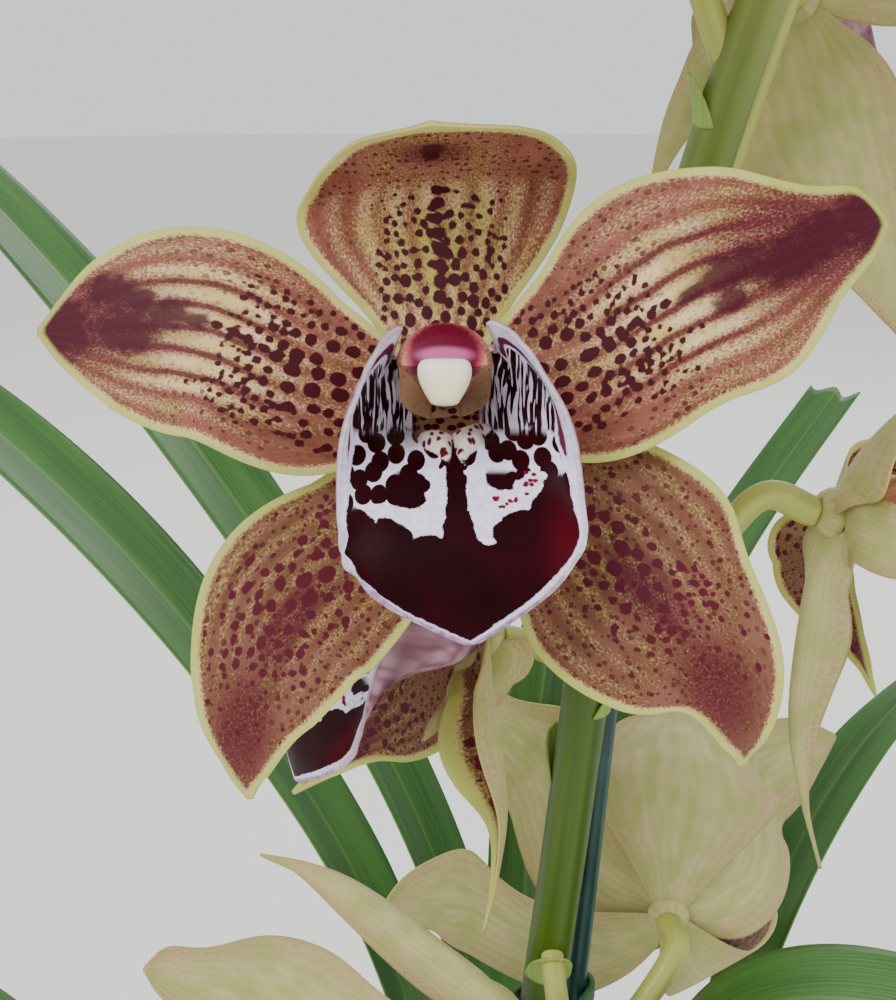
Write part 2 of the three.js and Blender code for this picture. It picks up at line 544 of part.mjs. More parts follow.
// Blooms: centre, facing, up, height where its stalk leaves the spike and how each tepal differs
const BLOOMS = [
  { name: 'main', at: [-23.5, -50.6, 600.2], facing: [0, -0.94, 0.342], up: [0, 0.342, 0.94], from: 574 },
  { name: 'left_low', at: [-18.2, -26.6, 554.9], facing: [-0.84, -0.37, 0.39], up: [0.36, 0.16, 0.92], from: 532,
    bow: [2, 0, 4],
    tepals: {
      dorsal: { aim: [-0.55, 0.15, 0.82], length: 0.75, slim: 0.8 },
      petal_right: {
        path: [[1, -2, -1], [2, -4, -4], [0, -6, -7], [-3, -8, -9], [-6, -9, -11], [-9, -10, -14]],
        face: [0.1, 0.94, -0.34], slim: 0.3, roll: 0.2,
      },
      sepal_left: {
        path: [[0, 0, 0], [-5, 2, -6], [-12, 5, -14], [-19, 8, -22], [-26, 9, -30], [-33, 10, -37]],
        face: [-0.6, -0.75, 0.3], slim: 0.85,
      },
      sepal_right: {
        path: [[0, 0, 0], [1, -6, -4], [3, -11, -14], [4, -13, -25], [3, -14, -35], [1, -15, -47]],
        face: [-0.75, -0.65, 0], slim: 0.3, roll: 0.5,
      },
    } },
  { name: 'right_mid', at: [38.6, -25.6, 575.3], facing: [0.98, 0.05, -0.18], up: [0.16, 0.3, 0.94], from: 546,
    tepals: {
      dorsal: {
        path: [[0, 0, 1], [0, -1, 6], [2, -2, 11], [6, -2, 16], [10, -2, 20], [15, 0, 23]],
        face: [0.85, -0.5, 0.15], slim: 0.42, roll: 0.4,
      },
      petal_left: {
        path: [[0, 0, 0], [1, -7, 1], [3, -13, 1], [7, -18, 2], [10, -23, 3], [15, -25, 2]],
        face: [0.3, 0.9, -0.1], slim: 0.42,
      },
      petal_right: { aim: [0.75, 0.65, -0.25], slim: 0.7 },
      sepal_left: {
        path: [[0, 0, 0], [-4, -4, -7], [-7, -10, -18], [-8, -14, -30], [-6, -17, -41], [-3, -20, -52]],
        face: [0.8, 0.6, 0], slim: 0.26, roll: 0.7,
      },
      sepal_right: {
        path: [[-1, 2, -2], [-3, 7, -8], [2, 10, -17], [7, 11, -25], [11, 11, -32], [14, 10, -38]],
        face: [-0.2, -0.95, 0.1], slim: 0.4,
      },
    } },
  { name: 'right_high', at: [32, 4.4, 652], facing: [0.3, 0.94, -0.13], up: [-0.25, 0.33, 0.91], from: 604,
    tepals: {
      dorsal: { aim: [-0.1, 0.3, 0.95] },
      petal_right: {
        path: [[0, 0, 0], [-6, 1, -1], [-10, 5, -2], [-11, 11, -4], [-10, 17, -8], [-7, 22, -13]],
        face: [0.3, 0.94, -0.13], slim: 0.34,
      },
      petal_left: { aim: [0.87, 0.05, 0.5] },
      sepal_left: {
        path: [[0, 0, 0], [1, -5, -9], [4, -12, -21], [9, -17, -33], [14, -22, -44], [19, -26, -53]],
        face: [0.1, 0.95, 0.1], slim: 1.05,
      },
      sepal_right: {
        path: [[0, 0, 0], [-6, 1, -5], [-11, 4, -12], [-15, 7, -19], [-18, 8, -27], [-20, 9, -34]],
        face: [0.05, 0.94, 0.1], slim: 0.34, roll: 0.3,
      },
    } },
  { name: 'left_high', at: [-16, -32, 702], facing: [-0.8, -0.55, 0.15], up: [0, 0, 1], from: 640 },
  { name: 'back_low', at: [21.4, -3.5, 481], facing: [0.1, 0.99, -0.04], up: [0, 0.06, 1], from: 460, bow: [0, -3, -4],
    tepals: {
      dorsal: { roll: 0.3, length: 1.1 },
      petal_right: { aim: [-0.68, 0.52, 0.52] },
      petal_left: { aim: [0.72, 0.5, 0.44] },
      sepal_right: { aim: [-0.98, 0.1, -0.2] },
      sepal_left: { aim: [0.36, 0.66, -0.66] },
    } },
  { name: 'left_bottom', at: [-14.6, -49.7, 488.7], facing: [-0.76, 0.27, -0.59], up: [-0.37, 0.51, 0.78],
    from: 492,
    tepals: {
      dorsal: {
        path: [[0, 0, 0], [0, 9, 0], [-3, 16, -3], [-6, 22, -7], [-8, 27, -12], [-9, 30, -18]],
        face: [-0.76, 0.27, -0.59], slim: 0.35,
      },
      petal_right: { aim: [-0.94, 0.04, 0.27], slim: 0.85 },
      petal_left: {
        path: [[1, 0, 1], [-2, 7, 6], [-11, 14, 10], [-22, 20, 15], [-33, 24, 19], [-42, 26, 21]],
        face: [-0.5, 0.6, -0.7], slim: 0.36, roll: 0.4,
      },
      sepal_right: { aim: [-0.6, -0.65, -0.45] },
      sepal_left: { aim: [0.1, -0.2, -0.97] },
    } },
  { name: 'top_right', at: [66, -52, 706], facing: [0.8, -0.55, 0.1], up: [0, 0, 1], from: 668 },
];
const HUB_PROFILE = [[0, -3.5], [2.6, -3.5], [4.2, -1.6], [3.6, 0.1], [2.4, 0.35], [0, 0.35]];
const PLAIN_SIDES = 4;
const PLAIN_ROWS = 5;
const FINE_SIDES = 6;
const FINE_ROWS = 8;

function bloomMatrix({ at, facing, up }) {
  const z = new THREE.Vector3(...facing).normalize();
  const x = new THREE.Vector3(...up).cross(z).normalize();
  const y = z.clone().cross(x);
  return new THREE.Matrix4().makeBasis(x, y, z).setPosition(...at);
}

function placed(shape, matrix) {
  return shape.transform(matrix.elements);
}

function addBloom(bloom) {
  const fine = bloom.name === 'main';
  const sides = fine ? FINE_SIDES : PLAIN_SIDES;
  const rows = fine ? FINE_ROWS : PLAIN_ROWS;
  const matrix = bloomMatrix(bloom);
  const hub = lathe(HUB_PROFILE, 10);
  const change = bloom.tepals ?? {};
  const toBloom = matrix.clone().invert();
  const centre = new THREE.Vector3(...bloom.at);
  const tepals = TEPALS.map((entry) => {
    const { aim, face, path, ...rest } = change[entry.name] ?? {};
    const own = (way) => way && new THREE.Vector3(...way).transformDirection(toBloom);
    const moved = path?.map((spot) => new THREE.Vector3(...spot).add(centre).applyMatrix4(toBloom).toArray());
    return tepal(entry, { aim: own(aim), face: own(face), path: moved, ...rest }, sides, rows);
  });
  addNode(`${bloom.name}_tepals`, placed(join([fromGeometry(hub), ...tepals]), matrix), TEPAL_COLOUR, 0.5);
  addNode(`${bloom.name}_lip`, placed(makeLip(fine ? 10 : 6, fine ? 10 : 6), matrix), LIP_COLOUR, 0.35);
  addNode(`${bloom.name}_column`, placed(makeColumn(fine ? 12 : 8, fine ? 6 : 3), matrix), COLUMN_COLOUR, 0.4);
  addNode(`${bloom.name}_cap`, placed(makeCap(fine ? 10 : 6), matrix), CAP_COLOUR, 0.4);
}

// Stalk with its ovary, from the spike's axis to just behind the bloom; bow bends its middle
function stalk(bloom) {
  const facing = new THREE.Vector3(...bloom.facing).normalize();
  const end = new THREE.Vector3(...bloom.at).addScaledVector(facing, -3.5 - OVARY_GAP);
  const start = spikePointAt(bloom.from);
  const behind = end.clone().addScaledVector(facing, -10);
  const middle = start.clone().lerp(behind, 0.5).add(new THREE.Vector3(...(bloom.bow ?? [0, 0, -4])));
  const points = [start, middle, behind, end].map((p) => p.toArray());
  return rod(points, [2.1, 2, 2.3, OVARY_RADIUS], 6, 5);
}

// Buds at the tip: height on the spike, direction and length
const BUDS = [
  { from: 712, out: [-0.7, -0.35, 0.62], length: 34, radius: 8 },
  { from: 736, out: [0.75, 0.2, 0.4], length: 28, radius: 6.5 },
  { from: 755, out: [0.05, -0.6, 0.6], length: 22, radius: 5 },
];

function bud({ from, out, length, radius }) {
  const away = new THREE.Vector3(...out).normalize();
  const start = spikePointAt(from);
  const points = [0, 0.33, 0.66, 1].map((share) => start.clone()
    .addScaledVector(away, (length + 18) * share).addScaledVector(UP, 4 * share * share).toArray());
  const shape = [1.6, 1.8, radius * 0.5, radius, radius * 0.95, radius * 0.55, 0.8];
  return rod(points, shape, 6, 8);
}

// Sheathing bracts on the bare lower stem: each a thin sleeve running out into the stem
const SHEATHS = [190, 245, 300, 355, 410];

function sheath(z) {
  const levels = [z, z + 14, z + 28, z + 42];
  const points = levels.map((level) => spikePointAt(level).toArray());
  return rod(points, [5.6, 6.2, 5.9, 3.6], 8, 3);
}

function makeSpike() {
  const stem = rod(SPIKE_LINE, SPIKE_RADII, 8, 18);
  return join([stem, ...SHEATHS.map(sheath), ...BLOOMS.map(stalk), ...BUDS.map(bud)]);
}

// Tie: a flat loop round the spike and the stake
const TIE_LEVELS = [293, 476];

function tie(z) {
  const stem = spikePointAt(z);
  const stake = stakePointAt(z);
  const span = new THREE.Vector2(stake.x - stem.x, stake.y - stem.y);
  const turn = Math.atan2(span.y, span.x);
  const outline = (gap) => {
    const [big, small] = [4.6 + 0.6 + gap, STAKE_RADIUS + 0.6 + gap];
    const lean = Math.acos((big - small) / span.length());
    const path = new THREE.Shape();
    path.absarc(0, 0, big, lean, 2 * Math.PI - lean, false);
    path.absarc(span.length(), 0, small, -lean, lean, false);
    path.closePath();
    return path;
  };
  const ring = outline(TIE_THICKNESS);
  ring.holes.push(outline(0));
  const loop = new THREE.ExtrudeGeometry(ring, { depth: TIE_HEIGHT, bevelEnabled: false, curveSegments: 5 });
  loop.rotateZ(turn);
  loop.translate(stem.x, stem.y, z - TIE_HEIGHT / 2);
  return fromGeometry(loop);
}

addNode('pot', makePot(), TERRACOTTA, 0.6);
addNode('bark', makeBark(), BARK_BROWN, 0.9);
BULBS.forEach((place, number) => addNode(`growth_${number + 1}`, makeGrowth(number), LEAF_GREEN, 0.45));
addNode('flower_spike', makeSpike(), STEM_GREEN, 0.4);
addNode('stake', stakeRod(STAKE_RADIUS, STAKE_BOTTOM, STAKE_TOP), STAKE_COLOUR, 0.4);
addNode('tie_low', tie(TIE_LEVELS[0]), TIE_COLOUR, 0.7);
addNode('tie_high', tie(TIE_LEVELS[1]), TIE_COLOUR, 0.7);
BLOOMS.forEach(addBloom);

export default group;
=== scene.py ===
import math

import bpy
import numpy as np
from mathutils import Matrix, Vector


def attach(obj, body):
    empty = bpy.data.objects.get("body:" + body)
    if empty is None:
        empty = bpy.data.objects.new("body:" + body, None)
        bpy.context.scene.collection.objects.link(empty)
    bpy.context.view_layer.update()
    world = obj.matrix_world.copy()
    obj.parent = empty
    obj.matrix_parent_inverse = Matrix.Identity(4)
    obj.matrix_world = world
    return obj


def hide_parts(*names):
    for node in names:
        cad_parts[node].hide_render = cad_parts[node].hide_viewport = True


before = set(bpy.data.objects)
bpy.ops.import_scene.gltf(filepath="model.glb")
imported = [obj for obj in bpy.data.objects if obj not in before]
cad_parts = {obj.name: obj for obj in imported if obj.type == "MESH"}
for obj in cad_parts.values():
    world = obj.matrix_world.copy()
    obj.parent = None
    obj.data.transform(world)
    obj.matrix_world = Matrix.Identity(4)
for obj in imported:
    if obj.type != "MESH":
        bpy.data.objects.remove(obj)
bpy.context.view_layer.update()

# Lengths are in millimetres until a mesh is written; the frame itself is in metres
MM = 0.001

# Blooms: the template's tepals, the lip and the column, all in the bloom's own frame, with x to the
# viewer's right, y up and z towards the viewer. A tepal has a middle line and its half widths on
# the anticlockwise and clockwise side from base to tip
TEPAL_START = 0.015
TEPALS = {
    "petal_left": {
        "line": [(-0.5, 0.5, 0), (-16.5, 3, 5), (-30, 8.5, 6), (-42, 9.5, 4), (-50, 9.5, 2),
                 (-53.2, 9.5, 1)],
        "widths": [(2.5, 2.5), (12, 9.8), (13.2, 13), (13, 12.7), (8.5, 9), (3.4, 3.6), (0.5, 0.5)],
    },
    "petal_right": {
        "line": [(0.5, 0.5, 0), (17.5, 5.5, 6), (31, 13, 10.5), (43, 18, 11), (51.5, 21, 10), (55, 22, 9)],
        "widths": [(2.5, 2.5), (11.2, 13), (16.3, 13.5), (13.5, 13.8), (7.2, 7.4), (5, 3.4), (0.5, 0.5)],
    },
    "dorsal": {
        "line": [(0, 0.5, -1), (-0.5, 14.5, -2), (-1, 27, -0.5), (-1.5, 30.5, 8), (-1.5, 31, 15.5),
                 (-1.5, 31.5, 18)],
        "widths": [(2, 2), (9.9, 8.8), (18.5, 16.6), (16.1, 18.2), (10.5, 15.1), (5, 9), (0.5, 0.5)],
    },
    "sepal_left": {
        "line": [(-0.5, -1, -2), (-10, -16.5, 0), (-21, -27.5, 3), (-25, -39.5, 4), (-26, -48, 2),
                 (-25.5, -51.5, 1)],
        "widths": [(2.5, 2.5), (9.8, 9), (13.4, 12.1), (11.7, 9.2), (6.2, 6), (2.6, 2), (0.5, 0.5)],
    },
    "sepal_right": {
        "line": [(0.5, -1, -2), (15.5, -13, 1), (26.5, -25, 4.5), (35.5, -35, 5), (38, -43.5, 3.5),
                 (38.5, -47, 2)],
        "widths": [(2.5, 2.5), (11, 9), (15.8, 15.7), (11.4, 13.1), (6.8, 6), (3.5, 2.1), (0.5, 0.5)],
    },
}

# Each bloom: centre, facing, up, height where its stalk leaves the spike, and its tepals' changes
BLOOMS = {
    "main": {"at": (-23.5, -50.6, 600.2), "facing": (0, -0.94, 0.342), "up": (0, 0.342, 0.94), "from": 574},
    "left_low": {
        "at": (-18.2, -26.6, 554.9), "facing": (-0.84, -0.37, 0.39), "up": (0.36, 0.16, 0.92), "from": 532,
        "bow": (2, 0, 4),
        "tepals": {
            "dorsal": {"aim": (-0.55, 0.15, 0.82), "length": 0.75, "slim": 0.8},
            "petal_right": {
                "path": ((1, -2, -1), (2, -4, -4), (0, -6, -7), (-3, -8, -9), (-6, -9, -11), (-9, -10, -14)),
                "face": (0.1, 0.94, -0.34), "slim": 0.3, "roll": 0.2,
            },
            "sepal_left": {
                "path": ((0, 0, 0), (-5, 2, -6), (-12, 5, -14), (-19, 8, -22), (-26, 9, -30),
                         (-33, 10, -37)),
                "face": (-0.6, -0.75, 0.3), "slim": 0.85,
            },
            "sepal_right": {
                "path": ((0, 0, 0), (1, -6, -4), (3, -11, -14), (4, -13, -25), (3, -14, -35), (1, -15, -47)),
                "face": (-0.75, -0.65, 0), "slim": 0.3, "roll": 0.5,
            },
        },
    },
    "right_mid": {
        "at": (38.6, -25.6, 575.3), "facing": (0.98, 0.05, -0.18), "up": (0.16, 0.3, 0.94), "from": 546,
        "tepals": {
            "dorsal": {
                "path": ((0, 0, 1), (0, -1, 6), (2, -2, 11), (6, -2, 16), (10, -2, 20), (15, 0, 23)),
                "face": (0.85, -0.5, 0.15), "slim": 0.42, "roll": 0.4,
            },
            "petal_left": {
                "path": ((0, 0, 0), (1, -7, 1), (3, -13, 1), (7, -18, 2), (10, -23, 3), (15, -25, 2)),
                "face": (0.3, 0.9, -0.1), "slim": 0.42,
            },
            "petal_right": {"aim": (0.75, 0.65, -0.25), "slim": 0.7},
            "sepal_left": {
                "path": ((0, 0, 0), (-4, -4, -7), (-7, -10, -18), (-8, -14, -30), (-6, -17, -41),
                         (-3, -20, -52)),
                "face": (0.8, 0.6, 0), "slim": 0.26, "roll": 0.7,
            },
            "sepal_right": {
                "path": ((-1, 2, -2), (-3, 7, -8), (2, 10, -17), (7, 11, -25), (11, 11, -32), (14, 10, -38)),
                "face": (-0.2, -0.95, 0.1), "slim": 0.4,
            },
        },
    },
    "right_high": {
        "at": (32, 4.4, 652), "facing": (0.3, 0.94, -0.13), "up": (-0.25, 0.33, 0.91), "from": 604,
        "tepals": {
            "dorsal": {"aim": (-0.1, 0.3, 0.95)},
            "petal_right": {
                "path": ((0, 0, 0), (-6, 1, -1), (-10, 5, -2), (-11, 11, -4), (-10, 17, -8), (-7, 22, -13)),
                "face": (0.3, 0.94, -0.13), "slim": 0.34,
            },
            "petal_left": {"aim": (0.87, 0.05, 0.5)},
            "sepal_left": {
                "path": ((0, 0, 0), (1, -5, -9), (4, -12, -21), (9, -17, -33), (14, -22, -44),
                         (19, -26, -53)),
                "face": (0.1, 0.95, 0.1), "slim": 1.05,
            },
            "sepal_right": {
                "path": ((0, 0, 0), (-6, 1, -5), (-11, 4, -12), (-15, 7, -19), (-18, 8, -27), (-20, 9, -34)),
                "face": (0.05, 0.94, 0.1), "slim": 0.34, "roll": 0.3,
            },
        },
    },
    "left_high": {"at": (-16, -32, 702), "facing": (-0.8, -0.55, 0.15), "up": (0, 0, 1), "from": 640},
    "back_low": {
        "at": (21.4, -3.5, 481), "facing": (0.1, 0.99, -0.04), "up": (0, 0.06, 1), "from": 460,
        "bow": (0, -3, -4),
        "tepals": {
            "dorsal": {"roll": 0.3, "length": 1.1},
            "petal_right": {"aim": (-0.68, 0.52, 0.52)},
            "petal_left": {"aim": (0.72, 0.5, 0.44)},
            "sepal_right": {"aim": (-0.98, 0.1, -0.2)},
            "sepal_left": {"aim": (0.36, 0.66, -0.66)},
        },
    },
    "left_bottom": {
        "at": (-14.6, -49.7, 488.7), "facing": (-0.76, 0.27, -0.59), "up": (-0.37, 0.51, 0.78), "from": 492,
        "tepals": {
            "dorsal": {
                "path": ((0, 0, 0), (0, 9, 0), (-3, 16, -3), (-6, 22, -7), (-8, 27, -12), (-9, 30, -18)),
                "face": (-0.76, 0.27, -0.59), "slim": 0.35,
            },
            "petal_right": {"aim": (-0.94, 0.04, 0.27), "slim": 0.85},
            "petal_left": {
                "path": ((1, 0, 1), (-2, 7, 6), (-11, 14, 10), (-22, 20, 15), (-33, 24, 19), (-42, 26, 21)),
                "face": (-0.5, 0.6, -0.7), "slim": 0.36, "roll": 0.4,
            },
            "sepal_right": {"aim": (-0.6, -0.65, -0.45)},
            "sepal_left": {"aim": (0.1, -0.2, -0.97)},
        },
    },
    "top_right": {"at": (66, -52, 706), "facing": (0.8, -0.55, 0.1), "up": (0, 0, 1), "from": 668},
}

# Lip: rows of the middle line (y, z) and three points (side, rise) of the half section
LIP_ROWS = [
    (-2.2, 2.6, 3.2, 0.3, 6, 3, 5.8, 10),
    (-4, 5.5, 4.5, 0.3, 8, 3.5, 6.5, 11),
    (-5.3, 10, 6, 0.3, 10.5, 4.5, 5.3, 14.5),
    (-6.8, 14.5, 7, 0.4, 12, 5, 8.5, 13),
    (-9.5, 19, 7.5, 0.4, 12.3, 3, 12.6, 7),
    (-13.5, 22.3, 7.5, 0, 11.8, 0.2, 13.8, 1.5),
    (-18.5, 24.2, 7, -0.2, 11.5, -0.7, 13.6, -1.2),
    (-24, 24.5, 4.5, -0.2, 7.5, -0.5, 9, -1),
    (-28.8, 23, 0.3, 0, 0.6, 0, 1, 0),
]
LIP_YAW = math.radians(2.5)
LIP_ROLL = math.radians(4)

# Column: rows of centre (y, z), half width, rise above and below the centre; the cap at its end
COLUMN_ROWS = [
    (1, 1.3, 1.8, 1.8, 1.8), (2.2, 4.5, 3.2, 3, 2), (3.6, 8.5, 4.4, 4.4, 1.8), (4, 12.5, 5.8, 5, 1.5),
    (3.6, 15.6, 5.2, 3.8, 0.6),
]
CAP_CENTRE = (0, 1.6, 18.1)
CAP_RADII = (3.1, 3.3, 1.9)

# Outlines drawn on the lip, on the plane through the bloom's centre, as an eye sees them from
# VIEW_DISTANCE in front of that plane, straight over the point (AXIS_X, AXIS_Y)
VIEW_DISTANCE = 158
AXIS_X, AXIS_Y = 0.4, -12.5
LEFT_PATCH = [
    (-12.4, -12.9), (-11.2, -13), (-9.4, -12.9), (-8.3, -12.5), (-7.8, -11.4), (-8.2, -9.6), (-7.8, -8.4),
    (-7, -7.8), (-5.5, -7.7), (-4, -8.1), (-1.9, -7.8), (0.2, -8.4), (0.1, -10.2), (0.3, -12.9),
    (-0.1, -15.3), (-0.4, -17.6), (-1.5, -17.4), (-2.8, -17.3), (-4.2, -17.7), (-4.5, -16.7),
    (-5.7, -15.8), (-7.3, -15.2), (-8.6, -15), (-9, -15.6), (-10, -14.6), (-11.2, -13.8),
]
HEART = [
    (-7.7, -9.6), (-7.1, -8.7), (-5.8, -8.4), (-4.3, -8.6), (-3.3, -9.3), (-2.7, -9.9), (-1.9, -10.5),
    (-1.8, -11.4), (-2.7, -12), (-2.5, -12.9), (-3.3, -13.8), (-4.6, -14.1), (-6.1, -13.8),
    (-7.4, -13.1), (-7.6, -12), (-6.5, -11.3), (-7.3, -10.5),
]
RIGHT_PATCH = [
    (2.3, -8.1), (3.5, -7.8), (5, -7.7), (4.7, -8.4), (5.3, -9.8), (5.9, -11.1), (7.5, -11.6),
    (8.9, -11.3), (9.4, -10.4), (10.5, -9.9), (10.8, -8.7), (11.8, -8.6), (12.9, -8.7), (13.6, -7.8),
    (13.5, -6), (12.9, -4.5), (13.5, -4.2), (14.1, -6), (14.1, -8.1), (13.3, -9.9), (12.6, -11.4),
    (11.5, -12.9), (11.1, -13.8), (9.2, -14.1), (7.7, -15), (6.3, -16.4), (6.1, -17.4), (6.8, -18.3),
    (6.2, -18.6), (5.1, -18.3), (4.1, -17.6), (3.8, -15.9), (3, -13.8), (2.9, -10.2),
]
LEFT_KEEL = [
    (-3.3, -5.1), (-3, -4.4), (-1.6, -4.1), (-0.4, -4.2), (0.8, -4.7), (0.6, -6), (0.4, -8.1),
    (-0.4, -7.2), (-1.9, -6.6), (-3, -6),
]
RIGHT_KEEL = [
    (1.3, -4.5), (2.3, -3.8), (4.1, -3.2), (5.6, -3.2), (6.2, -3.9), (5, -4.8), (4.7, -6), (3.8, -6.6),
    (2.9, -7.2), (2.3, -8.1), (1.8, -6.6),
]

# The spike's middle line and radii; heights of its sheaths; buds with the height they leave it at
SPIKE_LINE = [
    (-27, -36, 100), (-25, -35, 200), (-17.5, -31.5, 300), (-12, -28, 400), (-3.6, -25, 500),
    (7.5, -25, 600), (33, -34, 695), (68, -48, 765),
]
SPIKE_RADII = [4.6, 4.6, 4.5, 4.3, 4, 3.8, 3.1, 2]
SPIKE_FOOT, SPIKE_TIP = SPIKE_LINE[0][2], SPIKE_LINE[-1][2]
SHEATHS = [190, 245, 300, 355, 410]
BUDS = [
    {"from": 712, "out": (-0.7, -0.35, 0.62), "length": 34, "radius": 8},
    {"from": 736, "out": (0.75, 0.2, 0.4), "length": 28, "radius": 6.5},
    {"from": 755, "out": (0.05, -0.6, 0.6), "length": 22, "radius": 5},
]
BUD_STALK = 18
STALK_GAP = 3.9
STALK_STRAIGHT = 10

# The stake is a straight rod; a tie is a loop round it and the spike
STAKE_MIDDLE = np.array((3, -18.4, 506))
STAKE_SLOPE = np.array((0.059, 0.0326, 1))
STAKE_RADIUS = 2
STAKE_BOTTOM = 12
STAKE_TOP = 565
TIE_LEVELS = {"tie_low": 293, "tie_high": 476}
TIE_STEM_RADIUS = 5.2
TIE_SLACK = 0.6
TIE_HALF_THICK = 0.6
TIE_HALF_TALL = 2

# Pseudobulbs (x, y, radius), the leaves that show in the view, and the others: bulb, direction,
# length, lean at the base and droop
BULB_BOTTOM = 112
BULB_TOP = 182
BULBS = [(-2, -6, 18), (40, 8, 17), (-38, 18, 17), (6, 40, 17), (38, -34, 14)]
SHOWN_LEAVES = [
    {"bulb": 0, "width": 25, "facing": (-0.8, 0.6), "line": [
        (-6, 2, 158), (-8, 12, 260), (-11, 23, 350), (-20, 36, 440), (-55, 66, 508), (-112, 106, 576),
        (-178, 148, 630), (-245, 188, 655)]},
    {"bulb": 0, "width": 24, "facing": (-0.9, 0.45), "line": [
        (-12, -6, 158), (-17, -2, 255), (-22, 6, 350), (-34, 17, 442), (-64, 36, 497), (-110, 60, 545),
        (-170, 90, 580), (-235, 122, 590)]},
    {"bulb": 0, "width": 17, "facing": (0.1, 1), "line": [
        (2, 4, 158), (0, 8, 240), (-3, 13, 320), (-5, 22, 400), (-5, 31, 470), (0, 48, 515), (8, 76, 552)]},
    {"bulb": 3, "width": 16, "facing": (0.75, 0.65), "cut": True, "line": [
        (10, 44, 158), (9, 46, 240), (8, 49, 330), (11, 52, 410), (20, 60, 480), (50, 89, 522),
        (84, 118, 557)]},
    {"bulb": 1, "width": 17, "facing": (0.85, 0.5), "line": [
        (42, 12, 158), (39, 12, 240), (38, 14, 330), (41, 19, 400), (52, 30, 450), (78, 52, 485),
        (126, 88, 508)]},
    {"bulb": 4, "width": 24, "facing": (0.9, -0.4), "line": [
        (34, -34, 158), (27, -33, 230), (20, -31, 320), (14, -31, 400), (22, -34, 476), (62, -52, 496),
        (122, -84, 462)]},
]
FAN_LEAVES = [
    (0, -1.3, 440, 0.2, 2),
    (1, -0.15, 520, 0.16, 1.9), (1, 0.85, 420, 0.4, 2.1),
    (2, 2.85, 430, 0.46, 1.9), (2, 3.6, 430, 0.3, 2.1), (2, 2.45, 380, 0.46, 2.1), (2, 4.55, 400, 0.3, 2.2),
    (3, 1.45, 380, 0.42, 2.1), (3, 1.95, 400, 0.36, 2.1), (3, 0.65, 390, 0.42, 2.2),
    (4, -0.75, 420, 0.2, 2.1), (4, -1.6, 400, 0.24, 2.2), (4, 0.2, 380, 0.26, 2.2),
]
FAN_WIDTH = 21
LEAF_FOOT = 158

# Pot and bark
POT_HEIGHT = 150
POT_TOP_RADIUS = 85
POT_FOOT_RADIUS = 62
POT_WALL = 2.4
POT_FLOOR = 3
RIM_HEIGHT = 16
RIM_STEP = 3
DRAIN_HOLES = 8
DRAIN_RADIUS = 5
DRAIN_CIRCLE = 44
BARK_EDGE_LEVEL = 136
BARK_MOUND = 7
BARK_CHIPS = 760
BARK_SIDES = 96
CHIP_ROWS, CHIP_SIDES = 7, 10

# Steps of the meshes, along and across: the bloom seen from near, then the others
NEAR = {"tepal": (140, 66), "lip": (190, 200), "column": (48, 96), "cap": 48}
FAR = {"tepal": (64, 32), "lip": (70, 64), "column": (24, 40), "cap": 24}

# Light, and a camera that takes the photograph's place; lengths in metres
SKY_TINT = (0.93, 0.94, 0.96, 1)
SKY_STRENGTH = 1.06
LAMP_AIM = (0, 0, 0.5)
CAMERA_PLACE = (-0.0231, -0.2034, 0.6425)
CAMERA_TILT = math.radians(70)
CAMERA_LENS = 43.2
SENSOR_WIDTH = 36
FLOOR_RADIUS = 12


# Plain maths on whole arrays


def catmull(a, b, c, d, f):
    """Point at the share f of the way from b to c, on the curve through all four."""
    return b + 0.5 * f * (c - a + f * (2 * a - 5 * b + 4 * c - d + f * (3 * (b - c) + d - a)))


def smooth(rows, t):
    """Catmull-Rom curve through equally spaced rows; t runs from 0 to 1 and both ends carry straight on."""
    rows = np.asarray(rows, float)
    single = rows.ndim == 1
    if single:
        rows = rows[:, None]
    last = len(rows) - 1
    place = np.clip(np.asarray(t, float), 0, 1) * last
    i = np.minimum(place.astype(int), last - 1)
    f = (place - i)[..., None]
    padded = np.concatenate([[2 * rows[0] - rows[1]], rows, [2 * rows[-1] - rows[-2]]])
    a, b, c, d = (padded[i + k] for k in range(4))
    made = catmull(a, b, c, d, f)
    return made[..., 0] if single else made


def unit(v):
    """Vectors divided by their lengths."""
    v = np.asarray(v, float)
    return v / np.maximum(np.linalg.norm(v, axis=-1, keepdims=True), 1e-9)


def tangent(rows, t, reach=0.002):
    """Direction of the curve: its point a little ahead less its point a little behind."""
    return unit(smooth(rows, np.minimum(t + reach, 1)) - smooth(rows, np.maximum(t - reach, 0)))


def dot(a, b):
    """Sum of the products of the coordinates, kept as a column."""
    return np.sum(np.asarray(a) * np.asarray(b), -1, keepdims=True)


def full_turn(count):
    """Angles evenly round a circle."""
    return np.linspace(0, 2 * np.pi, count, endpoint=False)


def distances(points):
    """Distance travelled along a line of points, from 0 at the first."""
    return np.concatenate([[0], np.cumsum(np.linalg.norm(np.diff(points, axis=0), axis=1))])


def joined(*values):
    """Arrays stretched to one shape and joined as coordinates of points."""
    return np.stack(np.broadcast_arrays(*values), -1)


def sheet_grid(rows, columns):
    """Grid of t along a sheet, from 0 to 1, and s across it, from -1 to 1."""
    return np.meshgrid(np.linspace(0, 1, rows + 1), np.linspace(-1, 1, columns + 1), indexing="ij")


def turned(points, axis, angle):
    """Points turned about an axis: p cos(a) + (axis x p) sin(a) + axis (axis . p)(1 - cos(a))."""
    angle = np.asarray(angle, float)[..., None]
    return (points * np.cos(angle) + np.cross(axis, points) * np.sin(angle)
            + axis * dot(axis, points) * (1 - np.cos(angle)))


def step(low, high, value):
    """0 below low, 1 above high, and a smooth cubic between them."""
    x = np.clip((value - low) / (high - low), 0, 1)
    return x * x * (3 - 2 * x)


def hump(value, middle, reach):
    """1 at the middle, falling to 0 at the reach on either side."""
    return 1 - step(0, 1, np.abs(value - middle) / reach)


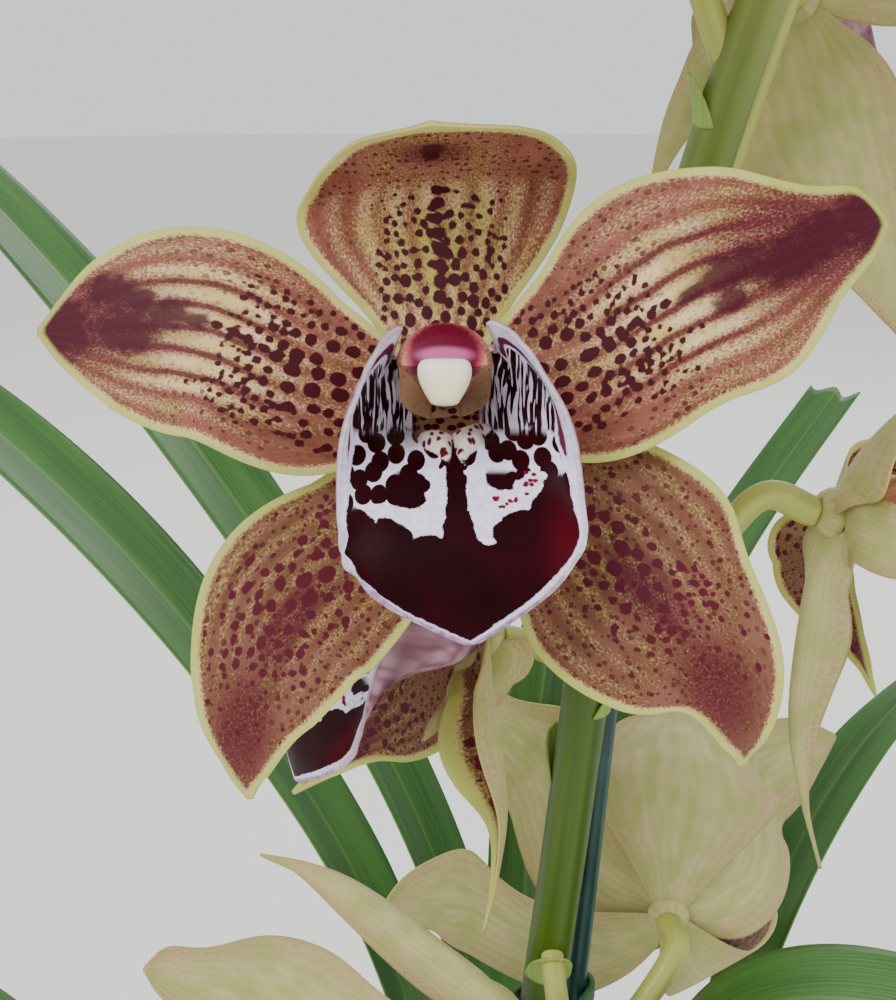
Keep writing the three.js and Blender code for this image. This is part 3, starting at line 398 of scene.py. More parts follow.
def polygon_field(outline, u, v):
    """Distance to a closed outline, positive inside it and negative outside."""
    corners = np.array(outline, float)
    ahead = np.roll(corners, -1, 0)
    nearest = np.full(u.shape, 1e9)
    inside = np.zeros(u.shape, bool)
    for (x0, y0), (x1, y1) in zip(corners, ahead):
        dx, dy = x1 - x0, y1 - y0
        share = np.clip(((u - x0) * dx + (v - y0) * dy) / (dx * dx + dy * dy), 0, 1)
        nearest = np.minimum(nearest, np.hypot(u - x0 - share * dx, v - y0 - share * dy))
        if y0 != y1:
            crossing = (y0 > v) != (y1 > v)
            inside ^= crossing & (u < x0 + (v - y0) * dx / dy)
    return np.where(inside, nearest, -nearest)


def spot_field(l, a, spots):
    """Highest value over all spots of the spot's size times 1 minus the distance in its own radii."""
    field = np.full(l.shape, -3.0)
    for l0, a0, long, wide in spots:
        far = np.sqrt(((l - l0) / long) ** 2 + ((a - a0) / wide) ** 2)
        field = np.maximum(field, min(long, wide) * (1 - far))
    return field


def scatter(random, tries, low, high, size, spacing):
    """Seeded spots in a box of (along, across), none nearer another than both sizes times the spacing."""
    kept = []
    for _ in range(tries):
        l, a = random.uniform(low, high)
        radius = size(l, a, random)
        if radius <= 0:
            continue
        if all(math.hypot(l - x, (a - y) * 1.15) > (radius + r) * spacing for x, y, r in kept):
            kept.append((l, a, radius))
    return [(l, a, r * random.uniform(1, 1.35), r * random.uniform(0.85, 1.05)) for l, a, r in kept]


# Meshes from grids of points


def grid_faces(rows, columns, wrap=False):
    """Quads over a grid of rows by columns of points, each turned to face (along x across)."""
    r, c = np.meshgrid(np.arange(rows - 1), np.arange(columns - (0 if wrap else 1)), indexing="ij")
    right = (c + 1) % columns
    corners = [r * columns + c, (r + 1) * columns + c, (r + 1) * columns + right, r * columns + right]
    return np.stack(corners, -1).reshape(-1, 4)


def end_fans(rows, sides):
    """Triangles that close both ends of stacked rings, to two points that follow the last ring."""
    here = np.arange(sides)
    ahead = (here + 1) % sides
    first, last = rows * sides, (rows - 1) * sides
    return np.concatenate([np.stack([np.full(sides, first), ahead, here], -1),
                           np.stack([np.full(sides, first + 1), last + here, last + ahead], -1)])


def part(points, quads, triangles=None, flat=None, paint=0, **fields):
    """One piece of a mesh: its points in mm, faces, flat coordinates, material number and fields."""
    points = np.asarray(points, float).reshape(-1, 3)
    flat = np.zeros((len(points), 2)) if flat is None else np.asarray(flat, float).reshape(-1, 2)
    fields = {name: np.asarray(value, float).reshape(-1) for name, value in fields.items()}
    triangles = np.zeros((0, 3), int) if triangles is None else np.asarray(triangles, int).reshape(-1, 3)
    quads = np.asarray(quads, int).reshape(-1, 4)
    return {"points": points, "quads": quads, "triangles": triangles, "flat": flat, "fields": fields,
            "paint": paint}


def thin_sheet(points, thickness, flat, paint=0, **fields):
    """A closed sheet: both faces are the grid shifted by half the thickness along its normal, and a
    strip runs round the margin. The field called inner is 1 on the front and 0 on the back."""
    rows, columns = points.shape[:2]
    normal = unit(np.cross(np.gradient(points, axis=0), np.gradient(points, axis=1)))
    half = (np.broadcast_to(thickness, points.shape[:2]) / 2)[..., None]
    both = np.concatenate([(points + normal * half).reshape(-1, 3), (points - normal * half).reshape(-1, 3)])
    count = rows * columns
    front = grid_faces(rows, columns)
    index = np.arange(count).reshape(rows, columns)
    loop = np.concatenate([index[0], index[1:, -1], index[-1, -2::-1], index[-2:0:-1, 0]])
    ahead = np.roll(loop, -1)
    rim = np.stack([loop, ahead, ahead + count, loop + count], -1)
    quads = np.concatenate([front, front[:, ::-1] + count, rim])
    doubled = {name: np.tile(np.broadcast_to(value, (rows, columns)).reshape(-1), 2)
               for name, value in fields.items()}
    doubled["inner"] = np.repeat([1.0, 0.0], count)
    return part(both, quads, flat=np.tile(np.asarray(flat).reshape(-1, 2), (2, 1)), paint=paint, **doubled)


def tube(centres, radii, sides, relief=None, paint=0, **fields):
    """A round tube along a line: each ring is centre + radius (side cos + other sin), the side vector
    carried along the line; relief(angle, share) scales the radius. Both ends are closed. The field
    called share runs from 0 to 1 along it."""
    centres = np.asarray(centres, float)
    rows = len(centres)
    along = unit(np.gradient(centres, axis=0))
    sideways = np.zeros((rows, 3))
    side = np.array((1.0, 0, 0)) if abs(along[0][0]) < 0.8 else np.array((0, 1.0, 0))
    for r in range(rows):
        side = unit(side - along[r] * np.dot(side, along[r]))
        sideways[r] = side
    other = np.cross(along, sideways)
    angle = full_turn(sides)
    share = np.linspace(0, 1, rows)
    radius = np.broadcast_to(np.asarray(radii, float), (rows,))[:, None] * np.ones((1, sides))
    if relief is not None:
        radius = radius * relief(angle[None, :], share[:, None])
    ring = (sideways[:, None] * np.cos(angle)[None, :, None]
            + other[:, None] * np.sin(angle)[None, :, None])
    points = centres[:, None] + ring * radius[..., None]
    flat = joined(angle[None, :] * radius.mean(), distances(centres)[:, None])
    fields["share"] = share[:, None]
    for name, value in fields.items():
        value = np.broadcast_to(value, radius.shape)
        fields[name] = np.append(value.reshape(-1), [value[0, 0], value[-1, -1]])
    points = np.concatenate([points.reshape(-1, 3), [centres[0], centres[-1]]])
    flat = np.concatenate([flat.reshape(-1, 2), flat[0, :1], flat[-1, :1]])
    quads = grid_faces(rows, sides, True)[:, ::-1]
    return part(points, quads, end_fans(rows, sides), flat=flat, paint=paint, **fields)


def placed(one, matrix, centre):
    """A part turned by a 3 x 3 matrix whose rows are the new axes, then moved."""
    return {**one, "points": one["points"] @ matrix + centre}


def build(name, parts, materials, node):
    """Writes one mesh from its parts and lets it stand for a node of the frame."""
    names = sorted({key for one in parts for key in one["fields"]})
    starts = np.cumsum([0] + [len(one["points"]) for one in parts])
    points = np.concatenate([one["points"] for one in parts]) * MM
    quads = np.concatenate([one["quads"] + s for one, s in zip(parts, starts)])
    triangles = np.concatenate([one["triangles"] + s for one, s in zip(parts, starts)])
    flat = np.concatenate([one["flat"] for one in parts])
    loops = np.concatenate([quads.reshape(-1), triangles.reshape(-1)])
    begin = np.concatenate([np.arange(len(quads)) * 4, len(quads) * 4 + np.arange(len(triangles)) * 3])
    mesh = bpy.data.meshes.new(name)
    mesh.vertices.add(len(points))
    mesh.vertices.foreach_set("co", points.astype(np.float32).reshape(-1))
    mesh.loops.add(len(loops))
    mesh.loops.foreach_set("vertex_index", loops.astype(np.int32))
    mesh.polygons.add(len(begin))
    mesh.polygons.foreach_set("loop_start", begin.astype(np.int32))
    paint = np.concatenate([np.full(len(one["quads"]), one["paint"]) for one in parts]
                           + [np.full(len(one["triangles"]), one["paint"]) for one in parts])
    mesh.polygons.foreach_set("material_index", paint.astype(np.int32))
    mesh.update(calc_edges=True)
    mesh.validate()
    mesh.polygons.foreach_set("use_smooth", np.ones(len(mesh.polygons), bool))
    uv = mesh.uv_layers.new(name="flat")
    used = np.zeros(len(mesh.loops), np.int32)
    mesh.loops.foreach_get("vertex_index", used)
    uv.data.foreach_set("uv", flat[used].astype(np.float32).reshape(-1))
    for key in names:
        values = np.concatenate([one["fields"].get(key, np.zeros(len(one["points"]))) for one in parts])
        attribute = mesh.attributes.new(key, "FLOAT", "POINT")
        attribute.data.foreach_set("value", values.astype(np.float32))
    for material in materials:
        mesh.materials.append(material)
    piece = bpy.data.objects.new(name, mesh)
    bpy.context.scene.collection.objects.link(piece)
    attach(piece, "root")
    if node:
        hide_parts(node)
    return piece


# Materials: every colour comes from procedural nodes


def paint(red, green, blue):
    """Linear colour from the usual 0 to 255 values."""
    values = np.array((red, green, blue)) / 255
    linear = np.where(values <= 0.04045, values / 12.92, ((values + 0.055) / 1.055) ** 2.4)
    return (*(float(v) for v in linear), 1.0)


class Finish:
    """A material being wired up: each call adds one node and returns its output socket."""

    def __init__(self, name, roughness, specular=0.4):
        self.material = bpy.data.materials.new(name)
        self.material.use_nodes = True
        self.tree = self.material.node_tree
        self.tree.nodes.clear()
        output = self.tree.nodes.new("ShaderNodeOutputMaterial")
        self.shader = self.tree.nodes.new("ShaderNodeBsdfPrincipled")
        self.shader.inputs["Roughness"].default_value = roughness
        self.shader.inputs["Specular IOR Level"].default_value = specular
        self.tree.links.new(self.shader.outputs[0], output.inputs["Surface"])

    def wire(self, value, socket):
        """Links a socket to the input, or sets the input to a plain value."""
        if isinstance(value, bpy.types.NodeSocket):
            self.tree.links.new(value, socket)
        else:
            socket.default_value = value

    def node(self, kind, inputs, **settings):
        """A new node with its settings made and its inputs wired."""
        made = self.tree.nodes.new(kind)
        for key, value in settings.items():
            setattr(made, key, value)
        for key, value in inputs.items():
            self.wire(value, made.inputs[key])
        return made

    def sum(self, operation, a, b=0.0, c=0.0):
        """One step of arithmetic; MULTIPLY_ADD is a x b + c."""
        return self.node("ShaderNodeMath", {0: a, 1: b, 2: c}, operation=operation).outputs[0]

    def field(self, name):
        """A value that the mesh carries at its points."""
        return self.node("ShaderNodeAttribute", {}, attribute_name=name).outputs["Fac"]

    def flat(self, along=1.0, across=1.0, shift=0.0):
        """Flat coordinates in millimetres, scaled along and across."""
        uv = self.node("ShaderNodeUVMap", {}, uv_map="flat").outputs[0]
        return self.node("ShaderNodeMapping", {"Vector": uv, "Scale": (across, along, 1.0),
                                               "Location": (shift, shift, 0.0)}).outputs[0]

    def place(self, scale=1.0):
        """Object coordinates in millimetres times the scale."""
        where = self.node("ShaderNodeTexCoord", {}).outputs["Object"]
        size = 1000.0 * scale
        return self.node("ShaderNodeMapping", {"Vector": where, "Scale": (size, size, size)}).outputs[0]

    def noise(self, vector, scale=1.0, detail=2.0, rough=0.5, distortion=0.0):
        """Smooth noise, from 0 to 1 and mostly near 0.5."""
        return self.node("ShaderNodeTexNoise", {"Vector": vector, "Scale": scale, "Detail": detail,
                                                "Roughness": rough, "Distortion": distortion}).outputs[0]

    def cells(self, vector, randomness):
        """Distance to the nearest of scattered points, and that point's own random colour."""
        inputs = {"Vector": vector, "Scale": 1.0, "Randomness": randomness}
        return self.node("ShaderNodeTexVoronoi", inputs, feature="F1", voronoi_dimensions="2D").outputs

    def between(self, value, low, high, to_low=0.0, to_high=1.0):
        """to_low where the value is at low, to_high where it is at high, and a smooth step between."""
        return self.node("ShaderNodeMapRange", {"Value": value, "From Min": low, "From Max": high,
                                                "To Min": to_low, "To Max": to_high},
                         interpolation_type="SMOOTHSTEP", clamp=True).outputs[0]

    def mix(self, share, a, b):
        """Colour a where the share is 0 and colour b where it is 1."""
        made = self.tree.nodes.new("ShaderNodeMix")
        made.data_type = "RGBA"
        self.wire(share, made.inputs[0])
        self.wire(a, made.inputs[6])
        self.wire(b, made.inputs[7])
        return made.outputs[2]

    def tones(self, value, low, high, one, two):
        """From one paint at low to the other at high."""
        return self.mix(self.between(value, low, high), paint(*one), paint(*two))

    def stirred(self, value, noise, amount):
        """The value moved up or down by half the amount where the noise reaches 1 or 0."""
        return self.sum("MULTIPLY_ADD", noise, amount, self.sum("ADD", value, -amount / 2))

    def stripes(self, value, count):
        """A cosine wave of the value, count times per unit, from 0 to 1."""
        wave = self.sum("COSINE", self.sum("MULTIPLY", value, 2 * math.pi * count))
        return self.sum("MULTIPLY_ADD", wave, 0.5, 0.5)

    def done(self, colour, height=None, strength=0.3, distance=0.0003):
        """Sets the colour and, from a height, fine relief; distance is in metres."""
        self.wire(colour, self.shader.inputs["Base Color"])
        if height is not None:
            relief = {"Height": height, "Strength": strength, "Distance": distance}
            bump = self.node("ShaderNodeBump", relief)
            self.tree.links.new(bump.outputs[0], self.shader.inputs["Normal"])
        return self.material


def tepal_finish():
    """Inside: cream to yellow-green under red-brown speckle, with dark lines on the veins, a base painted
    brown as the shade at the bloom's centre, a clean pale margin, purple haze and blotches and dark round
    spots. Outside: cream-green with faint veins, flushed brown."""
    f = Finish("tepal", 0.5, 0.16)
    edge, cover, streak = f.field("edge"), f.field("cover"), f.field("streak")
    grain = f.noise(f.flat(2.2, 3.6), 1.0, 2.0, 0.65)
    cloud = f.noise(f.flat(0.16, 0.3), 1.0, 1.0, 0.5)
    vein = f.stripes(f.sum("ADD", f.field("fan"), f.sum("MULTIPLY", cloud, 0.06)), 4.5)
    ground = f.tones(cloud, 0.35, 0.65, (206, 178, 112), (230, 200, 152))
    ground = f.mix(f.field("green"), ground, paint(150, 154, 46))
    amount = f.sum("MULTIPLY_ADD", streak, f.sum("MULTIPLY_ADD", vein, 0.62, -0.42), cover)
    amount = f.stirred(f.stirred(amount, cloud, 0.6), grain, 1.9)
    clear = f.between(f.stirred(edge, grain, 1.8), 0.7, 1.5)
    line = f.sum("MULTIPLY", f.between(vein, 0.74, 0.98), f.between(streak, 0.3, 1.2, 0.0, 0.8))
    speck = f.sum("MULTIPLY", f.between(amount, 0.0, 1.0), clear)
    brick = f.tones(cloud, 0.3, 0.7, (98, 30, 36), (124, 50, 46))
    brick = f.mix(f.sum("MULTIPLY", f.field("soft"), 0.6), brick, paint(92, 50, 38))
    inside = f.mix(f.sum("MULTIPLY", speck, 0.9), ground, brick)
    inside = f.mix(f.sum("MULTIPLY", line, clear), inside, paint(84, 18, 30))
    haze = f.sum("MULTIPLY", f.field("haze"), f.between(grain, 0.25, 0.75, 0.55, 1.0))
    inside = f.mix(haze, inside, paint(84, 14, 34))
    # Painted shade: the foot of each tepal browned where it lies in the shade at the bloom's centre
    inside = f.mix(f.field("base"), inside, paint(148, 112, 84))
    small = f.cells(f.flat(0.62, 0.78, 3.0), 0.85)
    size = f.between(small["Color"], 0.1, 0.9, 0.08, 0.26)
    fine = f.sum("MULTIPLY", f.field("fine"), f.sum("LESS_THAN", small["Distance"], size))
    inside = f.mix(f.sum("MULTIPLY", fine, f.sum("MULTIPLY", clear, 0.8)), inside, paint(70, 12, 22))
    soft = f.stirred(f.field("blotch"), f.noise(f.flat(0.5, 0.8), 1.0, 3.0), 1.0)
    inside = f.mix(f.sum("MULTIPLY", f.between(soft, 0.0, 0.6), 0.92), inside, paint(66, 3, 26))
    ragged = f.stirred(f.field("spots"), f.noise(f.flat(), 1.0, 1.0), 0.36)
    spot = f.mix(f.field("soft"), paint(62, 4, 18), paint(84, 16, 34))
    inside = f.mix(f.between(ragged, -0.06, 0.1), inside, spot)
    margin = f.sum("SUBTRACT", 1.0, f.between(edge, 0.5, 1.3))
    inside = f.mix(f.sum("MULTIPLY", margin, 0.85), inside, paint(182, 188, 96))
    wandering = f.sum("MULTIPLY_ADD", cloud, 0.2, f.field("fan"))
    back_vein = f.sum("MULTIPLY", f.stripes(wandering, 5.5), 0.22)
    outside = f.tones(cloud, 0.3, 0.7, (166, 170, 104), (194, 186, 132))
    outside = f.mix(back_vein, outside, paint(140, 150, 74))
    flush = f.between(f.sum("MULTIPLY_ADD", cloud, 0.6, grain), 0.5, 1.1)
    outside = f.mix(f.sum("MULTIPLY", f.field("flush"), flush), outside, paint(156, 98, 80))
    colour = f.mix(f.field("inner"), outside, inside)
    return f.done(colour, f.sum("MULTIPLY_ADD", vein, 0.6, grain), 0.22, 0.0002)


def lip_finish():
    """Deep maroon, painted lighter red on the front's right side as light through the thin lip, with white
    patches and a white margin edged in mauve; towards the throat round dark cells on white, then dark
    streaks up the side lobes and two cream keels; the throat's ground is brown painted shade under its
    dark spots; the outside is mauve."""
    f = Finish("lip", 0.42, 0.06)
    seen = f.flat()
    grain = f.noise(seen, 0.9, 2.0, 0.5)
    fuzz = f.sum("MULTIPLY_ADD", f.noise(seen, 4.0, 1.0), 0.24, -0.12)
    wobble = f.sum("MULTIPLY_ADD", grain, 0.8, f.sum("ADD", fuzz, -0.4))
    white = f.tones(grain, 0.3, 0.7, (216, 208, 234), (236, 230, 244))
    maroon = f.mix(f.between(f.noise(seen, 0.12, 1.0), 0.35, 0.7), paint(30, 0, 5), paint(42, 0, 9))
    # Painted light: the lip's right front side lighter red, as light shining through the thin lip
    maroon = f.mix(f.field("glow"), maroon, paint(84, 1, 20))
    net = f.cells(f.flat(0.36, 0.4, 2.0), 0.8)["Distance"]
    pale = f.between(f.sum("MULTIPLY_ADD", fuzz, 0.2, net), 0.46, 0.53)
    inside = f.mix(f.sum("MULTIPLY", pale, f.field("net")), maroon, white)
    lines = f.noise(f.flat(0.22, 2.3), 1.0, 1.0, 0.5, 0.5)
    lobe = f.mix(f.between(lines, 0.5, 0.56), paint(40, 2, 14), white)
    inside = f.mix(f.field("lobe"), inside, lobe)
    # Throat: real dark red spots on a brown ground; the brown is painted shade, the pale ground darkened
    # under the column
    spots = f.cells(f.flat(0.8, 0.55, 5.0), 0.8)["Distance"]
    throat = f.tones(spots, 0.3, 0.38, (62, 6, 16), (148, 112, 84))
    inside = f.mix(f.field("throat"), inside, throat)
    drawn = f.sum("MULTIPLY", f.sum("MULTIPLY_ADD", pale, 1.6, -0.8), f.field("net"))
    patch = f.sum("ADD", f.sum("ADD", f.field("white"), wobble), drawn)
    inside = f.mix(f.between(patch, -0.12, 0.1), inside, white)
    inside = f.mix(f.between(f.sum("ADD", f.field("dots"), fuzz), 0.0, 0.1), inside, paint(112, 8, 36))
    dark_dot = f.between(f.cells(f.flat(0.9, 0.9, 9.0), 1.0)["Distance"], 0.16, 0.3)
    keel = f.mix(dark_dot, paint(84, 20, 34), paint(220, 206, 196))
    inside = f.mix(f.between(f.sum("ADD", f.field("keel"), fuzz), -0.1, 0.1), inside, keel)
    rim = f.sum("MULTIPLY_ADD", wobble, 0.6, f.sum("SUBTRACT", f.field("edge"), f.field("band")))
    streaked = f.sum("MULTIPLY_ADD", grain, 0.8, f.field("streak"))
    border = f.mix(f.between(streaked, 0.75, 1.15), white, paint(96, 30, 70))
    mauve = f.tones(grain, 0.35, 0.65, (150, 112, 148), (186, 160, 188))
    border = f.mix(f.field("mauve"), border, mauve)
    inside = f.mix(f.sum("SUBTRACT", 1.0, f.between(rim, -0.12, 0.1)), inside, border)
    cloudy = f.between(f.noise(seen, 0.5, 1.0), 0.3, 0.7, 0.0, 0.8)
    outside = f.mix(cloudy, paint(182, 146, 158), paint(124, 66, 92))
    deep = f.sum("MULTIPLY", f.field("front"), f.between(f.field("edge"), 0.8, 3.0, 0.0, 0.8))
    outside = f.mix(deep, outside, paint(74, 16, 42))
    colour = f.mix(f.field("inner"), outside, inside)
    return f.done(colour, grain, 0.12, 0.0002)


def column_finish():
    """Tan flanks with fine red lines, a spotted underside painted brown as shade, and a burgundy hood with a
    pink fold.
    """
    f = Finish("column", 0.42, 0.12)
    lines = f.noise(f.flat(0.5, 9.0), 1.0, 1.0, 0.6)
    flank = f.tones(lines, 0.42, 0.72, (222, 168, 122), (180, 96, 76))
    # Underside: real dark red spots on a brown painted as the shade under the column
    spots = f.cells(f.place(0.7), 0.9)["Distance"]
    under = f.tones(spots, 0.3, 0.4, (62, 6, 16), (150, 112, 84))
    flank = f.mix(f.field("under"), flank, under)
    hood = f.mix(f.field("pink"), paint(96, 4, 36), paint(190, 96, 142))
    share = f.stirred(f.field("front"), lines, 0.7)
    colour = f.mix(f.between(share, 0.1, 0.55), flank, paint(176, 78, 92))
    return f.done(f.mix(f.between(share, 0.45, 0.95), colour, hood), lines, 0.1, 0.0002)


def cap_finish():
    """Cream, whiter and faintly pink towards the top."""
    f = Finish("anther_cap", 0.4, 0.4)
    grain = f.noise(f.place(0.5), 1.0, 1.0)
    tone = f.mix(f.field("top"), paint(242, 234, 180), paint(246, 234, 226))
    tone = f.mix(f.between(grain, 0.4, 0.7, 0.0, 0.3), tone, paint(248, 242, 214))
    return f.done(tone, grain, 0.08, 0.0001)


def leaf_finish():
    """Mid green with fine parallel veins, a paler back and a groove down the middle."""
    f = Finish("leaf", 0.42, 0.45)
    veins = f.noise(f.flat(0.02, 2.4), 1.0, 2.0, 0.6)
    broad = f.noise(f.flat(0.01, 0.12), 1.0, 2.0)
    top = f.tones(veins, 0.35, 0.65, (36, 78, 24), (50, 98, 32))
    top = f.mix(f.between(broad, 0.35, 0.65, 0.0, 0.4), top, paint(76, 126, 48))
    middle = f.sum("SUBTRACT", 1.0, f.between(f.sum("ABSOLUTE", f.field("fan")), 0.0, 0.09))
    top = f.mix(f.sum("MULTIPLY", middle, 0.4), top, paint(100, 142, 64))
    under = f.tones(veins, 0.35, 0.65, (84, 128, 60), (104, 146, 76))
    colour = f.mix(f.field("inner"), under, top)
    colour = f.mix(f.between(f.field("tip"), 0.97, 1.0), colour, paint(134, 108, 62))
    return f.done(colour, f.sum("ADD", veins, f.sum("MULTIPLY", middle, -1.5)), 0.3, 0.0003)


def stem_finish():
    """Bright green with soft long stripes, a little yellower on the flower stalks."""
    f = Finish("stem", 0.42, 0.45)
    stripes = f.noise(f.flat(0.012, 0.35), 1.0, 3.0, 0.5)
    green = f.tones(stripes, 0.3, 0.7, (54, 80, 9), (70, 98, 16))
    stalk = f.tones(stripes, 0.3, 0.7, (158, 164, 74), (186, 188, 96))
    colour = f.mix(f.field("stalk"), green, stalk)
    return f.done(colour, stripes, 0.15, 0.0003)


def husk_finish():
    """Papery bracts: green where they clasp, straw towards the margin, with long fibres."""
    f = Finish("husk", 0.6, 0.3)
    fibres = f.noise(f.flat(0.03, 2.0), 1.0, 3.0, 0.65)
    green = f.tones(fibres, 0.3, 0.7, (120, 150, 66), (150, 172, 88))
    straw = f.tones(fibres, 0.3, 0.7, (150, 124, 78), (190, 168, 116))
    share = f.stirred(f.field("dry"), fibres, 0.6)
    return f.done(f.mix(f.between(share, 0.3, 0.7), green, straw), fibres, 0.4, 0.0004)


def bud_finish():
    """Yellow-green with fine fibres, flushed red-brown towards the tip."""
    f = Finish("bud", 0.42, 0.4)
    fibres = f.noise(f.flat(0.06, 1.2), 1.0, 3.0, 0.6)
    tone = f.tones(fibres, 0.35, 0.65, (150, 168, 78), (178, 186, 104))
    share = f.stirred(f.field("share"), fibres, 0.5)
    red = f.between(share, 0.6, 1.0, 0.0, 0.5)
    return f.done(f.mix(red, tone, paint(156, 92, 76)), fibres, 0.2, 0.0003)


def stake_finish():
    """Dark blue-green coating, a little worn."""
    f = Finish("stake", 0.38, 0.5)
    worn = f.noise(f.place(0.08), 1.0, 3.0)
    colour = f.tones(worn, 0.35, 0.7, (22, 56, 54), (38, 82, 78))
    return f.done(colour, f.noise(f.place(0.6), 1.0, 2.0), 0.15, 0.0003)


def tie_finish():
    """Soft green band."""
    f = Finish("tie", 0.55, 0.4)
    worn = f.noise(f.place(0.3), 1.0, 3.0)
    return f.done(f.tones(worn, 0.35, 0.7, (40, 92, 52), (60, 116, 66)), worn, 0.3, 0.0003)


def pot_finish():
    """Matt terracotta-coloured plastic with a faint mottle and fine scuffs."""
    f = Finish("pot_plastic", 0.52, 0.4)
    mottle = f.noise(f.place(0.03), 1.0, 4.0, 0.6)
    fine = f.noise(f.place(0.9), 1.0, 2.0)
    tone = f.tones(mottle, 0.3, 0.7, (148, 84, 58), (166, 98, 68))
    tone = f.mix(f.between(fine, 0.55, 0.75, 0.0, 0.35), tone, paint(186, 124, 94))
    return f.done(tone, fine, 0.12, 0.0003)


def bark_finish():
    """Fir bark: red-brown to grey-brown from chip to chip, darker between, with long grain."""
    f = Finish("bark", 0.85, 0.25)
    grain = f.noise(f.place(0.35), 1.0, 4.0, 0.65, 0.8)
    tone = f.mix(f.field("tone"), paint(92, 56, 36), paint(142, 100, 70))
    tone = f.mix(f.between(grain, 0.35, 0.7), tone, paint(62, 38, 26))
    return f.done(tone, grain, 0.6, 0.001)


def bulb_finish():
    """Green pseudobulb under old sheaths: fibres run up it and dry straw edges cross them."""
    f = Finish("bulb", 0.5, 0.35)
    fibres = f.noise(f.flat(0.03, 1.6), 1.0, 3.0, 0.65)
    green = f.tones(fibres, 0.3, 0.7, (84, 118, 50), (122, 150, 74))
    straw = f.tones(fibres, 0.3, 0.7, (140, 112, 70), (184, 160, 112))
    share = f.stirred(f.field("dry"), fibres, 0.8)
    return f.done(f.mix(f.between(share, 0.35, 0.75), green, straw), fibres, 0.5, 0.0005)


# Tepals: t runs along the blade and s across it; l and a are distances in millimetres from its base
# and from its middle line


def tepal_surface(shape, change, s, t, waves=(0, 0)):
    """The template blade: middle line + side vector x side share x half width, margins curled by roll
    and rippled by a sine. It is then bent from the template's direction to its aim and twisted to
    its face, both growing smoothly from the base outwards. A path takes the middle line's place and
    is not bent; its face gives the front all along. Returns points and half widths."""
    line = np.array(shape["line"], float)
    middle = np.array(change.get("path", line), float)
    outward = unit(smooth(line, 0.5) * (1, 1, 0))
    across = np.array((-outward[1], outward[0], 0))
    along = tangent(middle, t)
    side = np.cross(change["face"], along) if "path" in change else across
    wide = unit(side - along * dot(along, side))
    normal = -np.cross(along, wide)
    widths = smooth(shape["widths"], t)
    half = np.maximum(np.where(s > 0, widths[..., 0], widths[..., 1]), 0.4)
    narrow = 1 - (1 - change.get("slim", 1)) * np.minimum(1, 4 * t)
    curl = change.get("roll", 0) * s**2 * half * np.sin(np.pi * np.minimum(1.1 * t, 1))
    swing = np.sin(np.where(s > 0, 13, 11) * t + np.where(s > 0, *waves))
    ripple = 0.55 * np.abs(s) ** 3 * np.sin(np.pi * t) * swing
    point = smooth(middle, t) + wide * (s * half * narrow)[..., None] - normal * (curl + ripple)[..., None]
    if "path" in change:
        return point, half * narrow
    chord = unit(line[-1])
    aim = unit(change.get("aim", chord))
    axis = np.cross(chord, aim)
    angle = math.atan2(np.linalg.norm(axis), float(np.dot(chord, aim)))
    axis = unit(axis)
    twist = 0.0
    if "face" in change:
        front = turned(-np.cross(across, chord), axis, angle)
        wanted = unit(change["face"] - aim * np.dot(change["face"], aim))
        twist = math.atan2(float(np.dot(np.cross(front, wanted), aim)), float(np.dot(front, wanted)))
    share = step(0.08, 0.5, t)
    point = turned(point * change.get("length", 1), axis, angle * share)
    ahead = turned(np.broadcast_to(chord, point.shape), axis, angle * share)
    return turned(point, ahead, twist * share), half * narrow


def even_rows(line, rows):
    """Values of t whose points lie evenly along the line, and their distances from its start."""
    fine = np.linspace(TEPAL_START, 1, 400)
    points = smooth(line, fine)
    travelled = distances(points)
    lengths = np.linspace(0, travelled[-1], rows + 1)
    return np.interp(lengths, travelled, fine), lengths


# Blotches of each tepal: distance from the base, offset from the middle line, reach along and across
BLOTCHES = {
    "petal_left": [(35.5, -1.9, 3.8, 2.6), (39.5, -3.4, 3, 2.2), (41, 0.2, 6, 4), (43.5, -4.8, 5, 2.8),
                   (50.5, 0, 6.5, 5.4), (32, -1.4, 2.6, 1.2)],
    "petal_right": [(38.6, 0.6, 6.5, 3), (36.8, -2.6, 3.4, 2), (45, -0.6, 7, 3.8), (50, 0.6, 6, 4),
                    (56.5, 1, 5.6, 5.4), (33, 0.2, 3, 1.1)],
    "dorsal": [(38, 0, 2.8, 2)],
    "sepal_left": [],
    "sepal_right": [],
}
HAZES = {
    "petal_left": [(44, -0.6, 17, 9), (52, 0, 9, 8)],
    "petal_right": [(49, 0, 19, 10), (44, 4, 15, 6)],
    "dorsal": [(37, 0, 5, 7)],
    "sepal_left": [(48, -0.5, 12, 6), (33, 1, 12, 4)],
    "sepal_right": [(49, -1, 13, 7), (34, 0, 11, 4.5)],
}


def petal_size(l, a, random):
    """Largest near the middle line and the base, by a bell curve across and a slope along; the same bell
    thins the spots out towards the margins."""
    near = math.exp(-(((a + 0.5) / 6.5) ** 2))
    if random.uniform() > near + 0.12:
        return 0
    fade = 1 - min(max((l - 15) / 12, 0), 1)
    return (0.4 + 0.7 * near * fade) * random.uniform(0.8, 1.12) if 6 < l < 27 + random.uniform(-3, 3) else 0


def dorsal_size(l, a, random):
    """A bell curve across, a little smaller with every millimetre past 12."""
    near = math.exp(-((a / 7.5) ** 2))
    if random.uniform() > near * 1.1 or not 4 < l < 23 + 5 * random.uniform():
        return 0
    return (0.42 + 0.5 * near) * random.uniform(0.75, 1.1) * (1 - 0.025 * max(l - 12, 0))


def sepal_size(l, a, random):
    """A narrow bell curve across times a hump along, in the middle stretch of the sepal."""
    near = math.exp(-((a / 4.2) ** 2))
    if random.uniform() > near * 1.1 or not 17 < l < 41:
        return 0
    return (0.5 + 0.6 * near * float(hump(l, 27, 18))) * random.uniform(0.75, 1.1)


